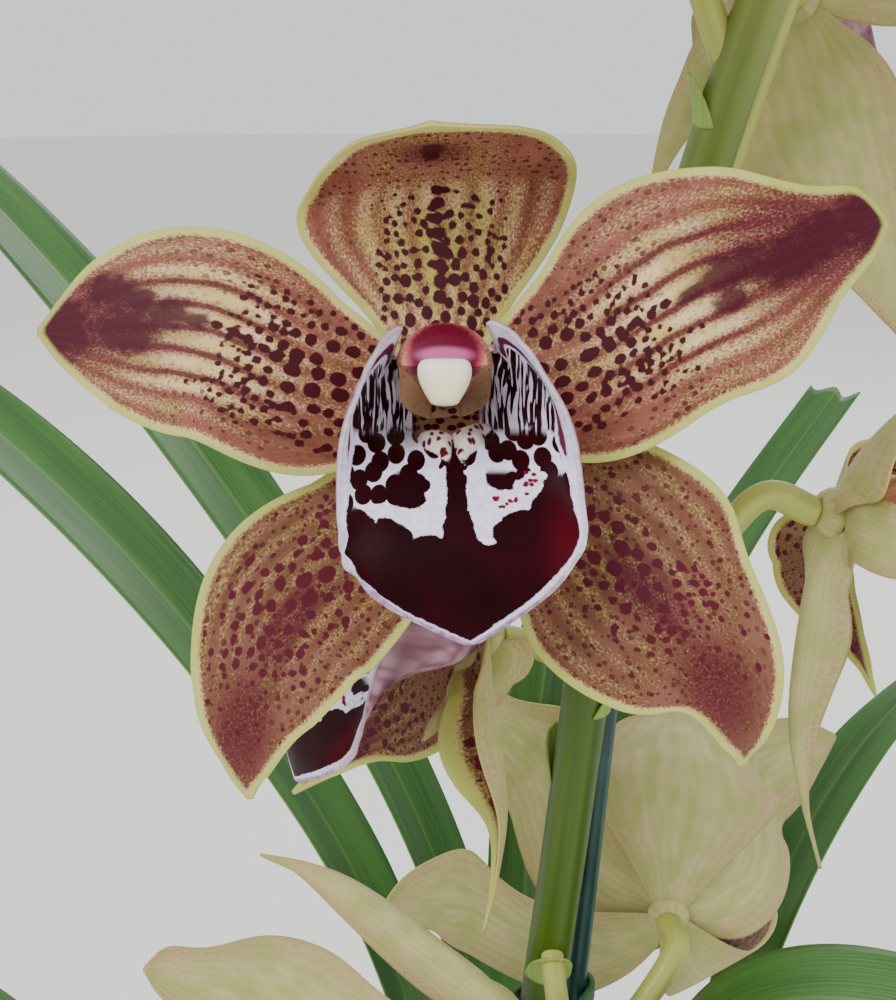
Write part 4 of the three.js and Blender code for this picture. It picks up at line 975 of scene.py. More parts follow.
def tepal_spots(name, seed):
    """Seeded spots of one tepal: dense towards the base on petals and dorsal, a broad chain on sepals."""
    random = np.random.default_rng(seed)
    if name.startswith("petal"):
        spots = scatter(random, 1500, (6, -9), (29, 9), petal_size, 1.22)
        drift = -1.2 if name == "petal_left" else 0.4
        spots += [(l, drift * l / 30 + random.uniform(-0.4, 0.4), 0.85, 0.62)
                  for l in np.arange(19, 31, 2.1)]
        flank = 4.5 if name == "petal_left" else -5.5
        spots += [(l, flank + random.uniform(-0.6, 0.6) + 0.05 * l, 0.5, 0.4)
                  for l in np.arange(17, 33, 1.5)]
    elif name == "dorsal":
        spots = scatter(random, 1500, (4, -9), (28, 9), dorsal_size, 1.14)
        spots += [(l, random.uniform(-0.2, 0.2), 0.95, 0.85) for l in np.arange(13, 28, 2.1)]
        spots += [(36 + 2 * random.uniform(), 0.2, 1.3, 1.1)]
    else:
        spots = scatter(random, 1200, (16, -8), (46, 8), sepal_size, 1.3)
        spots += scatter(random, 500, (12, -12), (50, 12), lambda l, a, r: r.uniform(0.28, 0.45), 2.8)
        spots += scatter(random, 90, (1, -5), (9, 5), lambda l, a, r: r.uniform(0.5, 0.75), 1.35)
    return spots


def soft_field(l, a, places):
    """Highest value over all places of 1 minus the distance in the place's own reaches."""
    field = np.zeros(l.shape)
    for l0, a0, long, wide in places:
        field = np.maximum(field, 1 - np.sqrt(((l - l0) / long) ** 2 + ((a - a0) / wide) ** 2))
    return field


def make_tepal(name, change, rows, columns, seed, number):
    """One tepal with its markings as fields: cover, streak, fine and green tune the speckle from
    place to place, and its flat coordinates are set apart from those of the other tepals."""
    shape = TEPALS[name]
    t_rows, lengths = even_rows(change.get("path", shape["line"]), rows)
    random = np.random.default_rng(seed)
    s_values = np.linspace(-1, 1, columns + 1)
    s_values = np.sign(s_values) * (1 - (1 - np.abs(s_values)) ** 1.15)
    t, s = np.meshgrid(t_rows, s_values, indexing="ij")
    l = np.broadcast_to(lengths[:, None], t.shape)
    points, half = tepal_surface(shape, change, s, t, waves=random.uniform(0, 6, 2))
    a = s * half
    slope = np.gradient(half, axis=0) / np.maximum(np.gradient(l, axis=0), 1e-6)
    edge = np.minimum((1 - np.abs(s)) * half / np.sqrt(1 + slope**2), (lengths[-1] - l) * 0.8)
    flank = step(4, 9, np.abs(a)) * hump(l, 12, 20)
    middle = hump(l, 31, 17) * (1 - step(5, 11, np.abs(a)))
    if name.startswith("petal"):
        cover = 0.86 + 0.35 * flank - 0.36 * middle + 0.1 * step(34, 50, l)
        streak = 0.4 + 0.9 * middle
        fine = 0.25 + 0.75 * hump(l, 26, 16) * step(3, 8, np.abs(a))
        green = np.zeros(l.shape)
    elif name == "dorsal":
        cover = 0.62 + 0.22 * step(27, 31, l) + 0.3 * step(7, 13, np.abs(a))
        streak = 0.55 * (1 - step(26, 32, l))
        fine = 0.4 + 0.6 * step(24, 31, l)
        green = 0.65 * hump(l, 19, 12) * (1 - step(5, 12, np.abs(a)))
    else:
        cover = 0.98 + 0.1 * step(30, 50, l)
        streak = 0.6 * hump(l, 30, 24)
        fine = 0.9 - 0.6 * step(42, 54, l)
        green = 0.35 * hump(l, 24, 22)
    spots = spot_field(l, a, tepal_spots(name, seed + 1))
    spots = np.minimum(spots, (edge - 1.2) * 0.5)
    thickness = 0.45 + 0.5 * (1 - np.abs(s) ** 3) * (1 - 0.5 * t)
    flat = np.stack([a + 100 * number, l], -1)
    # base carries the painted shade at the tepal's foot, near the bloom's centre
    return thin_sheet(points, thickness, flat, edge=edge, cover=cover, streak=streak, fine=fine, green=green,
                      fan=s, spots=spots, soft=float(name.startswith("sepal")),
                      blotch=soft_field(l, a, BLOTCHES[name]) ** 0.8,
                      haze=step(0, 0.75, soft_field(l, a, HAZES[name])), base=1 - step(4, 7, l),
                      flush=np.clip(0.15 + 0.45 * step(0.3, 1, np.abs(s)) + 0.35 * step(0.6, 1, t), 0, 1))


# The hub closes a bloom behind its tepals, and the spotted disc lies on the hub's front, finished as the
# throat: real dark spots on a brown that is painted shade under the column
DISC_PROFILE = [(0.05, -0.6), (3.2, -0.6), (3.7, 0.1), (2.5, 0.5), (0.05, 0.5)]
HUB_PROFILE = [(0.05, -3.5), (2.6, -3.5), (4.2, -1.6), (3.6, 0.1), (2.4, 0.35), (0.05, 0.35)]


def turned_body(profile, sides, rows, paint_number=0, **fields):
    """A profile of (radius, height) turned once round the z axis, smoothed to the number of rows."""
    points = smooth(profile, np.linspace(0, 1, rows)) if rows else np.array(profile, float)
    angle = full_turn(sides)
    grid = joined(points[:, :1] * np.cos(angle), points[:, :1] * np.sin(angle), points[:, 1:])
    flat = joined(angle[None, :] * 10, distances(points)[:, None])
    named = {name: np.broadcast_to(value, grid.shape[:2]) for name, value in fields.items()}
    return part(grid, grid_faces(len(points), sides, True)[:, ::-1], flat=flat, paint=paint_number, **named)


# Lip


def lip_surface(s, t):
    """Middle line of the rows, raised by a half section smoothed over the side share: the point is
    (side, y + tz rise, z - ty rise), with (ty, tz) the line's direction; then yawed and rolled."""
    rows = np.array(LIP_ROWS, float)
    line, section = rows[:, :2], rows[:, 2:]
    centre = smooth(line, t)
    along = tangent(line, t)
    across = smooth(section, t)
    zero = np.zeros(t.shape)
    knots = np.stack([np.stack([-across[..., 0], across[..., 1]], -1), np.stack([zero, zero], -1),
                      across[..., 0:2], across[..., 2:4], across[..., 4:6],
                      2 * across[..., 4:6] - across[..., 2:4]])
    place = np.clip(np.abs(s), 0, 1) * 3
    i = np.minimum(place.astype(int), 2)
    f = (place - i)[..., None]
    where = np.indices(t.shape)
    a, b, c, d = (knots[(i + k, *where)] for k in range(4))
    mixed = catmull(a, b, c, d, f)
    points = np.stack([np.sign(s) * mixed[..., 0], centre[..., 0] + along[..., 1] * mixed[..., 1],
                       centre[..., 1] - along[..., 0] * mixed[..., 1]], -1)
    points = turned(points, np.array((0, 1.0, 0)), LIP_YAW)
    return turned(points, np.array((0, 0, 1.0)), LIP_ROLL)


def make_lip(rows, columns, seed):
    """The lip with two raised keels and a crinkled margin. Its flat coordinates (u, v) are those of
    the outlines, and each outline gives a field that is positive inside it."""
    t, s = sheet_grid(rows, columns)
    points = lip_surface(s, t)
    normal = unit(np.cross(np.gradient(points, axis=0), np.gradient(points, axis=1)))
    spread = np.linalg.norm(np.diff(points, axis=1), axis=-1)
    travelled = np.concatenate([np.zeros((rows + 1, 1)), np.cumsum(spread, axis=1)], 1)
    edge = np.minimum(travelled, travelled[:, -1:] - travelled)
    down = np.linalg.norm(np.diff(points[:, columns // 2], axis=0), axis=-1)
    to_tip = np.concatenate([np.cumsum(down[::-1])[::-1], [0]])[:, None]
    slope = np.abs(np.gradient(travelled[:, -1] / 2)) / np.maximum(np.append(down, down[-1]), 1e-6)
    edge = np.minimum(edge / np.sqrt(1 + slope[:, None] ** 2), to_tip * 0.75 + edge * 0.25)
    scale = VIEW_DISTANCE / (VIEW_DISTANCE - points[..., 2])
    u = AXIS_X + (points[..., 0] - AXIS_X) * scale
    v = AXIS_Y + (points[..., 1] - AXIS_Y) * scale
    white = np.maximum(np.minimum(polygon_field(LEFT_PATCH, u, v), -polygon_field(HEART, u, v)),
                       polygon_field(RIGHT_PATCH, u, v))
    keel = np.maximum(polygon_field(LEFT_KEEL, u, v), polygon_field(RIGHT_KEEL, u, v))
    keel = np.where(t > 0.1, keel, -2)
    height = 1.1 * step(-0.5, 1.0, keel)
    random = np.random.default_rng(seed)
    crinkle = 0.3 * step(0.8, 1, np.abs(s)) * np.sin(46 * t + 3 * np.sin(17 * t) + random.uniform(0, 6))
    crinkle *= np.where(s < 0, 0.5 + 1.9 * hump(t, 0.74, 0.2), 0.45) * step(0.3, 0.5, t)
    points = points + normal * (height + crinkle)[..., None]
    left_band = np.interp(v, (-31, -20, -14, -10, -5, 0, 8), (0.85, 0.75, 1.0, 1.9, 4.2, 5.2, 4.4))
    right_band = np.interp(v, (-31, -24, -16, -10, -5, 0, 8), (0.95, 1.3, 1.0, 1.7, 3.8, 4.6, 3.6))
    front = step(0.16, 0.24, t)
    band = np.where(s < 0, left_band, right_band) * front
    centre = np.where(s < 0, 0.62, 0.72) * band
    streak = hump(edge, centre, 0.3 * band + 0.15) * step(-9, -5, v) * front
    mauve = (1 - step(0.45, 0.8, edge)) * (0.35 + 0.65 * step(-20, -25, v)) * front
    outer = step(3.6, 5.2, np.abs(u - AXIS_X))
    lobe = step(-4.6, -2.8, v) * outer
    # Throat zone under the column: its brown ground is painted shade, its spots are real
    throat = step(-5.6, -4.4, v) * (1 - outer)
    net = step(-9.6, -8.6, v) * step(1.3, 1.7, np.abs(u - 1.2)) + step(-6, -7.5, u) * step(-14, -12.6, v)
    dots = [(8 + 1.6 * random.uniform(-1, 1), -13 + 0.7 * random.uniform(-1, 1), 0.3, 0.3)
            for _ in range(12)]
    dots += [(11 + random.uniform(-1, 1), -10.8 + 1.6 * random.uniform(-1, 1), 0.45, 0.3)
             for _ in range(8)]
    dots = spot_field(u, v, dots)
    # Painted light through the thin right side of the front lobe
    glow = 0.7 * hump(u, 16, 5) * hump(v, -18, 9)
    thickness = 0.5 + 0.4 * (1 - np.abs(s) ** 4)
    return thin_sheet(points, thickness, np.stack([u, v], -1), edge=edge, white=white, keel=keel, band=band,
                      mauve=mauve, streak=streak, front=step(0.3, 0.55, t), lobe=lobe, throat=throat,
                      net=np.clip(net, 0, 1), dots=dots, glow=glow)


# Column and cap


def make_column(rows, sides):
    """Rings of (half width cos, y + rise sin, z) along the rows, then rounded shut over the front."""
    t = np.linspace(0, 1, rows + 1)
    y, z, wide, above, below = smooth(COLUMN_ROWS, t).T
    shut = np.linspace(0, 0.5 * np.pi, rows // 2 + 1)[1:]
    y = np.append(y, y[-1] - 0.2 * np.sin(shut))
    z = np.append(z, z[-1] + 0.9 * np.sin(shut))
    wide, above, below = (np.append(w, w[-1] * np.maximum(np.cos(shut), 0.02)) for w in (wide, above, below))
    angle = full_turn(sides)[None, :]
    rise = np.sin(angle) * np.where(np.sin(angle) > 0, above[:, None], below[:, None])
    points = joined(wide[:, None] * np.cos(angle), y[:, None] + rise, z[:, None])
    x, y, z = np.moveaxis(points, -1, 0)
    front = (1 - step(0.7, 1.25, np.hypot(x / 4.6, (y - 5) / 4.4))) * step(8.5, 12, z)
    pink = 1 - step(0.5, 1.1, np.hypot(x / 4, (y - 4.6) / 1.2))
    # Underside of the column, where the painted shade goes with its real spots
    under = 1 - step(-1.2, 1.2, y)
    quads = grid_faces(len(points), sides, True)[:, ::-1]
    return part(points, quads, flat=joined(angle * 4, z), front=front, pink=pink, under=under)


def make_cap(sides):
    """A rounded wedge: ellipses stacked down y, widest just under the top and drawn in to a blunt tip."""
    share = np.linspace(0, 1, sides // 2)[:, None]
    angle = full_turn(sides)[None, :]
    wide = smooth([0.02, 0.74, 0.97, 1.03, 0.96, 0.8, 0.62, 0.46, 0.02], share[:, 0])[:, None]
    deep = smooth([0.02, 0.7, 0.95, 1, 0.95, 0.8, 0.62, 0.4, 0.02], share[:, 0])[:, None]
    x, z = wide * np.cos(angle), deep * np.sin(angle)
    y = 0.72 - 0.84 * (1 - np.cos(np.pi * share)) + 0.08 * x**2 * (1 - share)
    points = joined(x, y, z) * CAP_RADII + CAP_CENTRE
    top = np.broadcast_to(1 - step(0.1, 0.7, share), x.shape)
    return part(points, grid_faces(len(share), sides, True), top=top)


def bloom_axes(bloom):
    """Rows are the bloom's x, y and z axes in the plant's frame."""
    z = unit(bloom["facing"])
    x = unit(np.cross(bloom["up"], z))
    return np.stack([x, np.cross(z, x), z])


# Rods, stalks and buds of the spike


def spike_at(height):
    """Point of the spike's middle line at a height, found by halving."""
    low, high = 0.0, 1.0
    for _ in range(40):
        middle = (low + high) / 2
        low, high = (middle, high) if smooth(SPIKE_LINE, middle)[2] < height else (low, middle)
    return smooth(SPIKE_LINE, low)


def stalk_line(bloom):
    """From the spike round a bend to just behind the bloom, which it meets straight on."""
    facing = unit(bloom["facing"])
    end = np.array(bloom["at"]) - STALK_GAP * facing
    start = spike_at(bloom["from"])
    behind = end - STALK_STRAIGHT * facing
    middle = (start + behind) / 2 + bloom.get("bow", (0, 0, -4))
    return np.stack([start, middle, behind, end])


def make_stalk(bloom):
    """Stalk and ovary: a tube whose radius is times 1 + 0.05 cos(6 angle) along its last part."""
    t = np.linspace(0, 1, 60)
    radii = smooth([2.1, 2, 2.3, 2.5], t)

    def ribs(angle, share):
        return 1 + 0.05 * np.cos(6 * angle) * step(0.35, 0.6, share)

    return tube(smooth(stalk_line(bloom), t), radii, 24, relief=ribs, stalk=1.0)


def make_bud(entry):
    """A closed bud: a tube whose radius is cut in where sin(1.5 angle) is near 0, along the three
    grooves in which the outer tepals meet."""
    away = unit(entry["out"])
    start = spike_at(entry["from"])
    share = np.linspace(0, 1, 70)
    centres = start + away * ((entry["length"] + BUD_STALK) * share)[:, None]
    centres = centres + np.array((0, 0, 4.0)) * (share**2)[:, None]
    r = entry["radius"]
    radii = smooth([1.6, 1.8, r * 0.5, r, r * 0.95, r * 0.55, 0.8], share)

    def grooves(angle, far):
        groove = np.abs(np.sin(1.5 * angle + 0.6 * far))
        return 1 - 0.13 * (1 - np.minimum(groove * 2.5, 1)) * step(0.25, 0.4, far)

    return tube(centres, radii, 36, relief=grooves, paint=2)


def make_bract(height, away, size):
    """A small green scale under a stalk: a sheet whose turn round the spike narrows to a point while it
    leans out."""
    t, s = sheet_grid(16, 12)
    foot = spike_at(height)
    out = unit(np.array((away[0], away[1], 0.0)))
    side = np.array((-out[1], out[0], 0.0))
    radius = smooth(SPIKE_RADII, (height - SPIKE_FOOT) / (SPIKE_TIP - SPIKE_FOOT)) + 0.35
    turn = s * 1.25 * (1 - t) ** 0.6
    lean = 1 + 0.55 * t**1.5
    ring = out * np.cos(turn)[..., None] + side * np.sin(turn)[..., None]
    up = np.array((0.05, 0, 1.0))
    points = foot + ring * (radius * lean)[..., None] + up * (size * t - 2)[..., None]
    flat = np.stack([turn * 4, t * size], -1)
    return thin_sheet(points, 0.4, flat, paint=1, dry=np.clip(0.3 * t + 0.15 * np.abs(s), 0, 1))


def make_sheath(height):
    """A long bract clasping the lower stem: a sleeve of (radius cos, radius sin) round the spike, whose
    turn narrows to a point and whose radius grows away from the stem."""
    t, s = sheet_grid(60, 40)
    reach = 46
    level = height - 1 + t * reach
    foot = np.stack([spike_at(z) for z in level[:, 0]])
    radius = smooth([5.2, 5.9, 5.9, 5.5], t) + 0.1 * np.sin(5 * s + 3 * t)
    open_at = 0.2 + 0.85 * step(0.45, 1.0, t)
    turn = s * np.pi * (1 - 0.75 * step(0.5, 1.0, t) ** 1.3) * 1.02 + height * 0.7
    radius = radius + 0.6 * open_at * t**2 - 1.0 * step(0.96, 1.0, t) + 0.35 * (s > 0.9) * (1 - t)
    ring = np.stack([np.cos(turn), np.sin(turn), 0 * turn], -1)
    points = foot[:, None] + ring * radius[..., None]
    flat = np.stack([turn * 6, level], -1)
    dry = 0.1 + 0.75 * step(0.55, 1, t) + 0.5 * step(0.8, 1, np.abs(s))
    return thin_sheet(points, 0.45, flat, paint=1, dry=np.clip(dry, 0, 1))


# Leaves and pseudobulbs


def arched_line(bulb, turn, length, lean, droop):
    """Seven points of a leaf that leans out more and more, and the direction it goes."""
    x, y, radius = BULBS[bulb]
    out = np.array((math.cos(turn), math.sin(turn), 0))
    spot = np.array((x, y, LEAF_FOOT)) + out * radius * 0.45
    line = []
    for k in range(7):
        line.append(spot)
        angle = lean + droop * ((k + 0.5) / 6) ** 1.6
        spot = spot + out * length / 6 * math.sin(angle) + np.array((0, 0, length / 6 * math.cos(angle)))
    return line, out


def make_leaf(line, width, facing, cut, seed, rows=150, columns=16):
    """Strap leaf: middle line + side vector x side share x half width, both halves lifted to a
    shallow trough, the margins waved a little."""
    widths = [0.4, 0.5, 0.6, 0.75, 1, 1, 0.9] if cut else [0.4, 0.5, 0.6, 0.75, 1, 0.8, 0.08]
    t, s = sheet_grid(rows, columns)
    random = np.random.default_rng(seed)
    sideways = unit((-facing[1], facing[0], 0))
    along = tangent(line, t, 0.01)
    across = unit(sideways - along * dot(along, sideways))
    up = np.cross(along, across)
    half = width / 2 * smooth(widths, t)
    trough = (0.55 - 0.4 * t) * half
    phase = random.uniform(0, 6, 2)
    wave = 0.5 * s**2 * np.sin(19 * t + np.where(s > 0, *phase)) * step(0.1, 0.4, t)
    lift = trough * np.sqrt(s**2 + 0.006) + wave
    points = smooth(line, t) + across * (s * half)[..., None] + up * lift[..., None]
    if cut:
        points = points + along * (1.5 * np.sin(5 * s + 1) * step(0.9, 1, t))[..., None]
    length = distances(smooth(line, np.linspace(0, 1, 60)))[-1]
    flat = np.stack([s * half + 60 * seed, t * length], -1)
    thickness = 0.5 + 0.6 * (1 - np.abs(s))
    tip = t * (0.97 if cut else 1.0) - 0.004 * (1 - np.abs(s))
    return thin_sheet(points, thickness, flat, fan=s, tip=tip)


def make_bulb(x, y, radius, seed):
    """Pseudobulb in its old sheaths: a turned profile with ribs, and sheets wrapped round it that end
    at uneven heights."""
    height = BULB_TOP - BULB_BOTTOM
    shape = [(0.02, -0.02), (0.55, 0), (0.9, 0.2), (1, 0.42), (0.9, 0.68), (0.55, 0.92), (0.02, 1.02)]
    rows, sides = 60, 72
    profile = smooth(shape, np.linspace(0, 1, rows))
    angle = full_turn(sides)
    ribs = 1 + 0.018 * np.sin(14 * angle[None, :] + seed) - 0.012
    r = profile[:, :1] * radius * ribs
    z = BULB_BOTTOM + profile[:, 1:] * height
    points = joined(x + r * np.cos(angle), y + r * np.sin(angle), z)
    made = [part(points, grid_faces(rows, sides, True)[:, ::-1], flat=joined(angle[None, :] * radius, z),
                 paint=1, dry=np.full(points.shape[:2], 0.25))]
    for k in range(4):
        t, s = sheet_grid(30, 32)
        turn = s * (1.9 - 1.5 * t**3) + k * np.pi / 2 + 0.5 * seed
        level = 0.25 + t * (0.62 + 0.08 * k)
        ring = np.interp(np.minimum(level, 0.97), profile[:, 1], profile[:, 0]) * radius
        ring = np.maximum(ring, radius * 0.42) + 0.5 + 0.35 * (4 - k) + 0.3 * np.abs(s) * t
        z = BULB_BOTTOM + level * height
        wrapped = np.stack([x + ring * np.cos(turn), y + ring * np.sin(turn), z], -1)
        dry = np.clip(0.15 + 0.6 * step(0.5, 1, t) + 0.3 * step(0.7, 1, np.abs(s)) - 0.1 * k, 0, 1)
        made.append(thin_sheet(wrapped, 0.5, joined(turn * radius, z), paint=1, dry=dry))
    return made


# Pot, bark, stake and ties


def make_pot():
    """The turned profile of the pot, its corners rounded, with the drainage holes cut in the floor."""
    rim_foot = POT_HEIGHT - RIM_HEIGHT
    slope = (POT_TOP_RADIUS - RIM_STEP - POT_FOOT_RADIUS) / rim_foot

    def wall(z):
        return POT_FOOT_RADIUS + slope * z

    corners = [
        (POT_FOOT_RADIUS - 2, 0), (POT_FOOT_RADIUS, 2), (wall(rim_foot - 2), rim_foot - 2),
        (POT_TOP_RADIUS - 1, rim_foot), (POT_TOP_RADIUS, rim_foot + 2), (POT_TOP_RADIUS + 1, POT_HEIGHT - 3),
        (POT_TOP_RADIUS, POT_HEIGHT), (POT_TOP_RADIUS - 2, POT_HEIGHT),
        (POT_TOP_RADIUS - POT_WALL - 1, rim_foot + 4), (wall(rim_foot) - POT_WALL, rim_foot - 2),
        (wall(POT_FLOOR) - POT_WALL, POT_FLOOR),
    ]
    rounded = []
    for before, here, after in zip([(0, 0)] + corners[:-1], corners, corners[1:] + [(0, POT_FLOOR)]):
        before, here, after = (np.array(p, float) for p in (before, here, after))
        cut_in = min(0.8, np.linalg.norm(here - before) * 0.4)
        cut_out = min(0.8, np.linalg.norm(after - here) * 0.4)
        a = here + unit(before - here) * cut_in
        b = here + unit(after - here) * cut_out
        rounded += [tuple((1 - k) ** 2 * a + 2 * k * (1 - k) * here + k * k * b) for k in (0, 0.33, 0.67, 1)]
    sides = 128
    body = turned_body(rounded, sides, 0)
    body["points"] = np.concatenate([body["points"], [(0, 0, 0), (0, 0, POT_FLOOR)]])
    body["flat"] = np.concatenate([body["flat"], np.zeros((2, 2))])
    body["triangles"] = end_fans(len(rounded), sides)
    pot = build("pot_shell", [body], [POT], "pot")
    for k in range(DRAIN_HOLES):
        turn = 2 * math.pi * (k + 0.5) / DRAIN_HOLES
        x, y = DRAIN_CIRCLE * MM * math.cos(turn), DRAIN_CIRCLE * MM * math.sin(turn)
        bpy.ops.mesh.primitive_cylinder_add(vertices=32, radius=DRAIN_RADIUS * MM,
                                            depth=4 * POT_FLOOR * MM, location=(x, y, POT_FLOOR * MM / 2))
        drill = bpy.context.object
        cut = pot.modifiers.new("drain", "BOOLEAN")
        cut.operation, cut.object, cut.solver = "DIFFERENCE", drill, "EXACT"
        bpy.context.view_layer.objects.active = pot
        bpy.ops.object.modifier_apply(modifier=cut.name)
        bpy.data.objects.remove(drill)


def chip_points(random, long, wide, thick):
    """An angular chip: a ball of rings drawn out to a rounded box, each point pushed in or out."""
    theta, phi = np.meshgrid(np.linspace(0.001, np.pi - 0.001, CHIP_ROWS), full_turn(CHIP_SIDES),
                             indexing="ij")
    ball = np.stack([np.sin(theta) * np.cos(phi), np.sin(theta) * np.sin(phi), np.cos(theta)], -1)
    box = np.sign(ball) * np.abs(ball) ** 0.45
    box = box * (1 + random.uniform(-0.16, 0.16, box.shape[:2])[..., None])
    box[0], box[-1] = box[0].mean(0), box[-1].mean(0)
    return box * (long / 2, wide / 2, thick / 2)


def make_bark():
    """A mound of height x (1 - share squared), roughened by sines, with a skirt down inside the pot,
    and overlapping bark chips laid over it by seeded draws."""
    random = np.random.default_rng(21)
    slope = (POT_TOP_RADIUS - RIM_STEP - POT_FOOT_RADIUS) / (POT_HEIGHT - RIM_HEIGHT)
    edge = POT_FOOT_RADIUS + slope * (BARK_EDGE_LEVEL - 6) - POT_WALL - 0.7
    share, angle = np.meshgrid(np.linspace(0.01, 1, 40), full_turn(BARK_SIDES), indexing="ij")
    x, y = edge * share * np.cos(angle), edge * share * np.sin(angle)
    rough = 1.2 * np.sin(x * 0.31 + 2 * np.sin(y * 0.17)) * np.sin(y * 0.37 + 1)
    z = BARK_EDGE_LEVEL + BARK_MOUND * (1 - share**2) - 4 + rough * (1 - share)
    top = np.stack([x, y, z], -1)
    down = np.linspace(0, 1, 12)[:, None]
    foot = POT_FOOT_RADIUS - POT_WALL - 1.2
    wall_r = edge + (foot - edge) * down
    wall_z = z[-1].mean() + (POT_FLOOR + 0.3 - z[-1].mean()) * down
    skirt = joined(wall_r * np.cos(angle[:1]), wall_r * np.sin(angle[:1]), wall_z)
    grid = np.concatenate([top, skirt])
    parts = [part(grid, grid_faces(len(grid), BARK_SIDES, True), tone=np.full(grid.shape[:2], 0.1))]
    faces = grid_faces(CHIP_ROWS, CHIP_SIDES, True)
    standing = [(x, y, r + 2) for x, y, r in BULBS] + [(*spike_at(140)[:2], 7), (-18.6, -30.4, 5)]
    for _ in range(BARK_CHIPS):
        far, turn = edge * math.sqrt(random.uniform()) * 0.97, random.uniform(0, 2 * np.pi)
        cx, cy = far * math.cos(turn), far * math.sin(turn)
        if any(math.hypot(cx - bx, cy - by) < r - 1 for bx, by, r in standing):
            continue
        long, wide, thick = random.uniform(9, 20), random.uniform(5, 11), random.uniform(2.5, 5)
        room = edge - far
        if room < long / 2:
            long = max(2 * room, 6)
            wide = min(wide, long * 0.7)
        chip = chip_points(random, long, wide, thick)
        chip = turned(chip, np.array((1.0, 0, 0)), random.uniform(-0.35, 0.35))
        chip = turned(chip, np.array((0, 1.0, 0)), random.uniform(-0.3, 0.3))
        chip = turned(chip, np.array((0, 0, 1.0)), random.uniform(0, 2 * np.pi))
        level = BARK_EDGE_LEVEL + BARK_MOUND * (1 - (far / edge) ** 2) - 2.5 + random.uniform(-1, 1.6)
        tone = float(random.uniform())
        parts.append(part(chip + (cx, cy, level), faces, tone=np.full(chip.shape[:2], tone)))
    build("bark_chips", parts, [BARK], "bark")


def stake_at(level):
    """Point of the stake's straight line at a height."""
    return STAKE_MIDDLE + STAKE_SLOPE * (level - STAKE_MIDDLE[2])


def make_tie(name, level):
    """A flat band round the stem and the stake: the rounded outline of both circles, swept by a
    rounded section of the band's height and thickness."""
    stem = spike_at(level)
    span = (stake_at(level) - stem)[:2]
    reach, turn = np.linalg.norm(span), math.atan2(span[1], span[0])
    lean = math.acos((TIE_STEM_RADIUS - (STAKE_RADIUS + TIE_SLACK)) / reach)
    big = TIE_STEM_RADIUS + TIE_HALF_THICK
    small = STAKE_RADIUS + TIE_SLACK + TIE_HALF_THICK
    one = np.linspace(lean, 2 * np.pi - lean, 72)
    two = np.linspace(-lean, lean, 48)
    ring = np.concatenate([joined(big * np.cos(one), big * np.sin(one)),
                           joined(reach + small * np.cos(two), small * np.sin(two))])
    ring = np.concatenate([ring, ring[:1]])
    far = distances(ring)
    even = np.linspace(0, far[-1], 161)[:-1]
    ring = np.stack([np.interp(even, far, ring[:, 0]), np.interp(even, far, ring[:, 1])], -1)
    ahead = unit(np.roll(ring, -1, 0) - np.roll(ring, 1, 0))
    outward = np.stack([ahead[:, 1], -ahead[:, 0]], -1)
    section = full_turn(20)
    thick = TIE_HALF_THICK * np.sign(np.cos(section)) * np.abs(np.cos(section)) ** 0.4
    tall = TIE_HALF_TALL * np.sign(np.sin(section)) * np.abs(np.sin(section)) ** 0.4
    flat_points = ring[:, None] + outward[:, None] * thick[None, :, None]
    cos, sin = math.cos(turn), math.sin(turn)
    x = stem[0] + flat_points[..., 0] * cos - flat_points[..., 1] * sin
    y = stem[1] + flat_points[..., 0] * sin + flat_points[..., 1] * cos
    z = level + tall[None, :] + 0 * x
    rows, sides = x.shape
    index = np.arange(rows * sides).reshape(rows, sides)
    right, above = np.roll(index, -1, 1), np.roll(index, -1, 0)
    quads = np.stack([index, right, np.roll(right, -1, 0), above], -1)
    build(name + "_band", [part(joined(x, y, z), quads)], [TIE], name)


# The materials, then every piece

TEPAL = tepal_finish()
LIP = lip_finish()
COLUMN = column_finish()
CAP = cap_finish()
LEAF = leaf_finish()
STEM = stem_finish()
HUSK = husk_finish()
BUD = bud_finish()
STAKE = stake_finish()
TIE = tie_finish()
POT = pot_finish()
BARK = bark_finish()
BULB = bulb_finish()


def make_bloom(name, number):
    """All four pieces of a bloom, made in its own frame and placed. A change's directions and path
    are given in the plant's frame and turned into the bloom's."""
    bloom = BLOOMS[name]
    axes = bloom_axes(bloom)
    centre = np.array(bloom["at"])
    steps = NEAR if name == "main" else FAR
    hub = turned_body(HUB_PROFILE, 32, 24, fan=0.5, flush=0.2)
    # The disc takes the throat's finish: real spots on a brown painted as shade
    disc = turned_body(DISC_PROFILE, 32, 24, 1, throat=1.0, white=-2.0, dots=-2.0, keel=-2.0, edge=9.0,
                       inner=1.0)
    disc["flat"] = disc["points"][:, :2]
    parts = [placed(hub, axes, centre), placed(disc, axes, centre)]
    for k, shape in enumerate(TEPALS):
        change = dict(bloom.get("tepals", {}).get(shape, {}))
        for key in ("aim", "face"):
            if key in change:
                change[key] = unit(axes @ np.array(change[key]))
        if "path" in change:
            change["path"] = change["path"] @ axes.T
        made = make_tepal(shape, change, *steps["tepal"], 100 * number + 10 * k, k)
        parts.append(placed(made, axes, centre))
    build(name + "_bloom", parts, [TEPAL, LIP], name + "_tepals")
    lip = make_lip(*steps["lip"], number)
    build(name + "_labellum", [placed(lip, axes, centre)], [LIP], name + "_lip")
    column = make_column(*steps["column"])
    build(name + "_pillar", [placed(column, axes, centre)], [COLUMN], name + "_column")
    cap = make_cap(steps["cap"])
    build(name + "_anther", [placed(cap, axes, centre)], [CAP], name + "_cap")


for order, bloom_name in enumerate(BLOOMS):
    make_bloom(bloom_name, order)

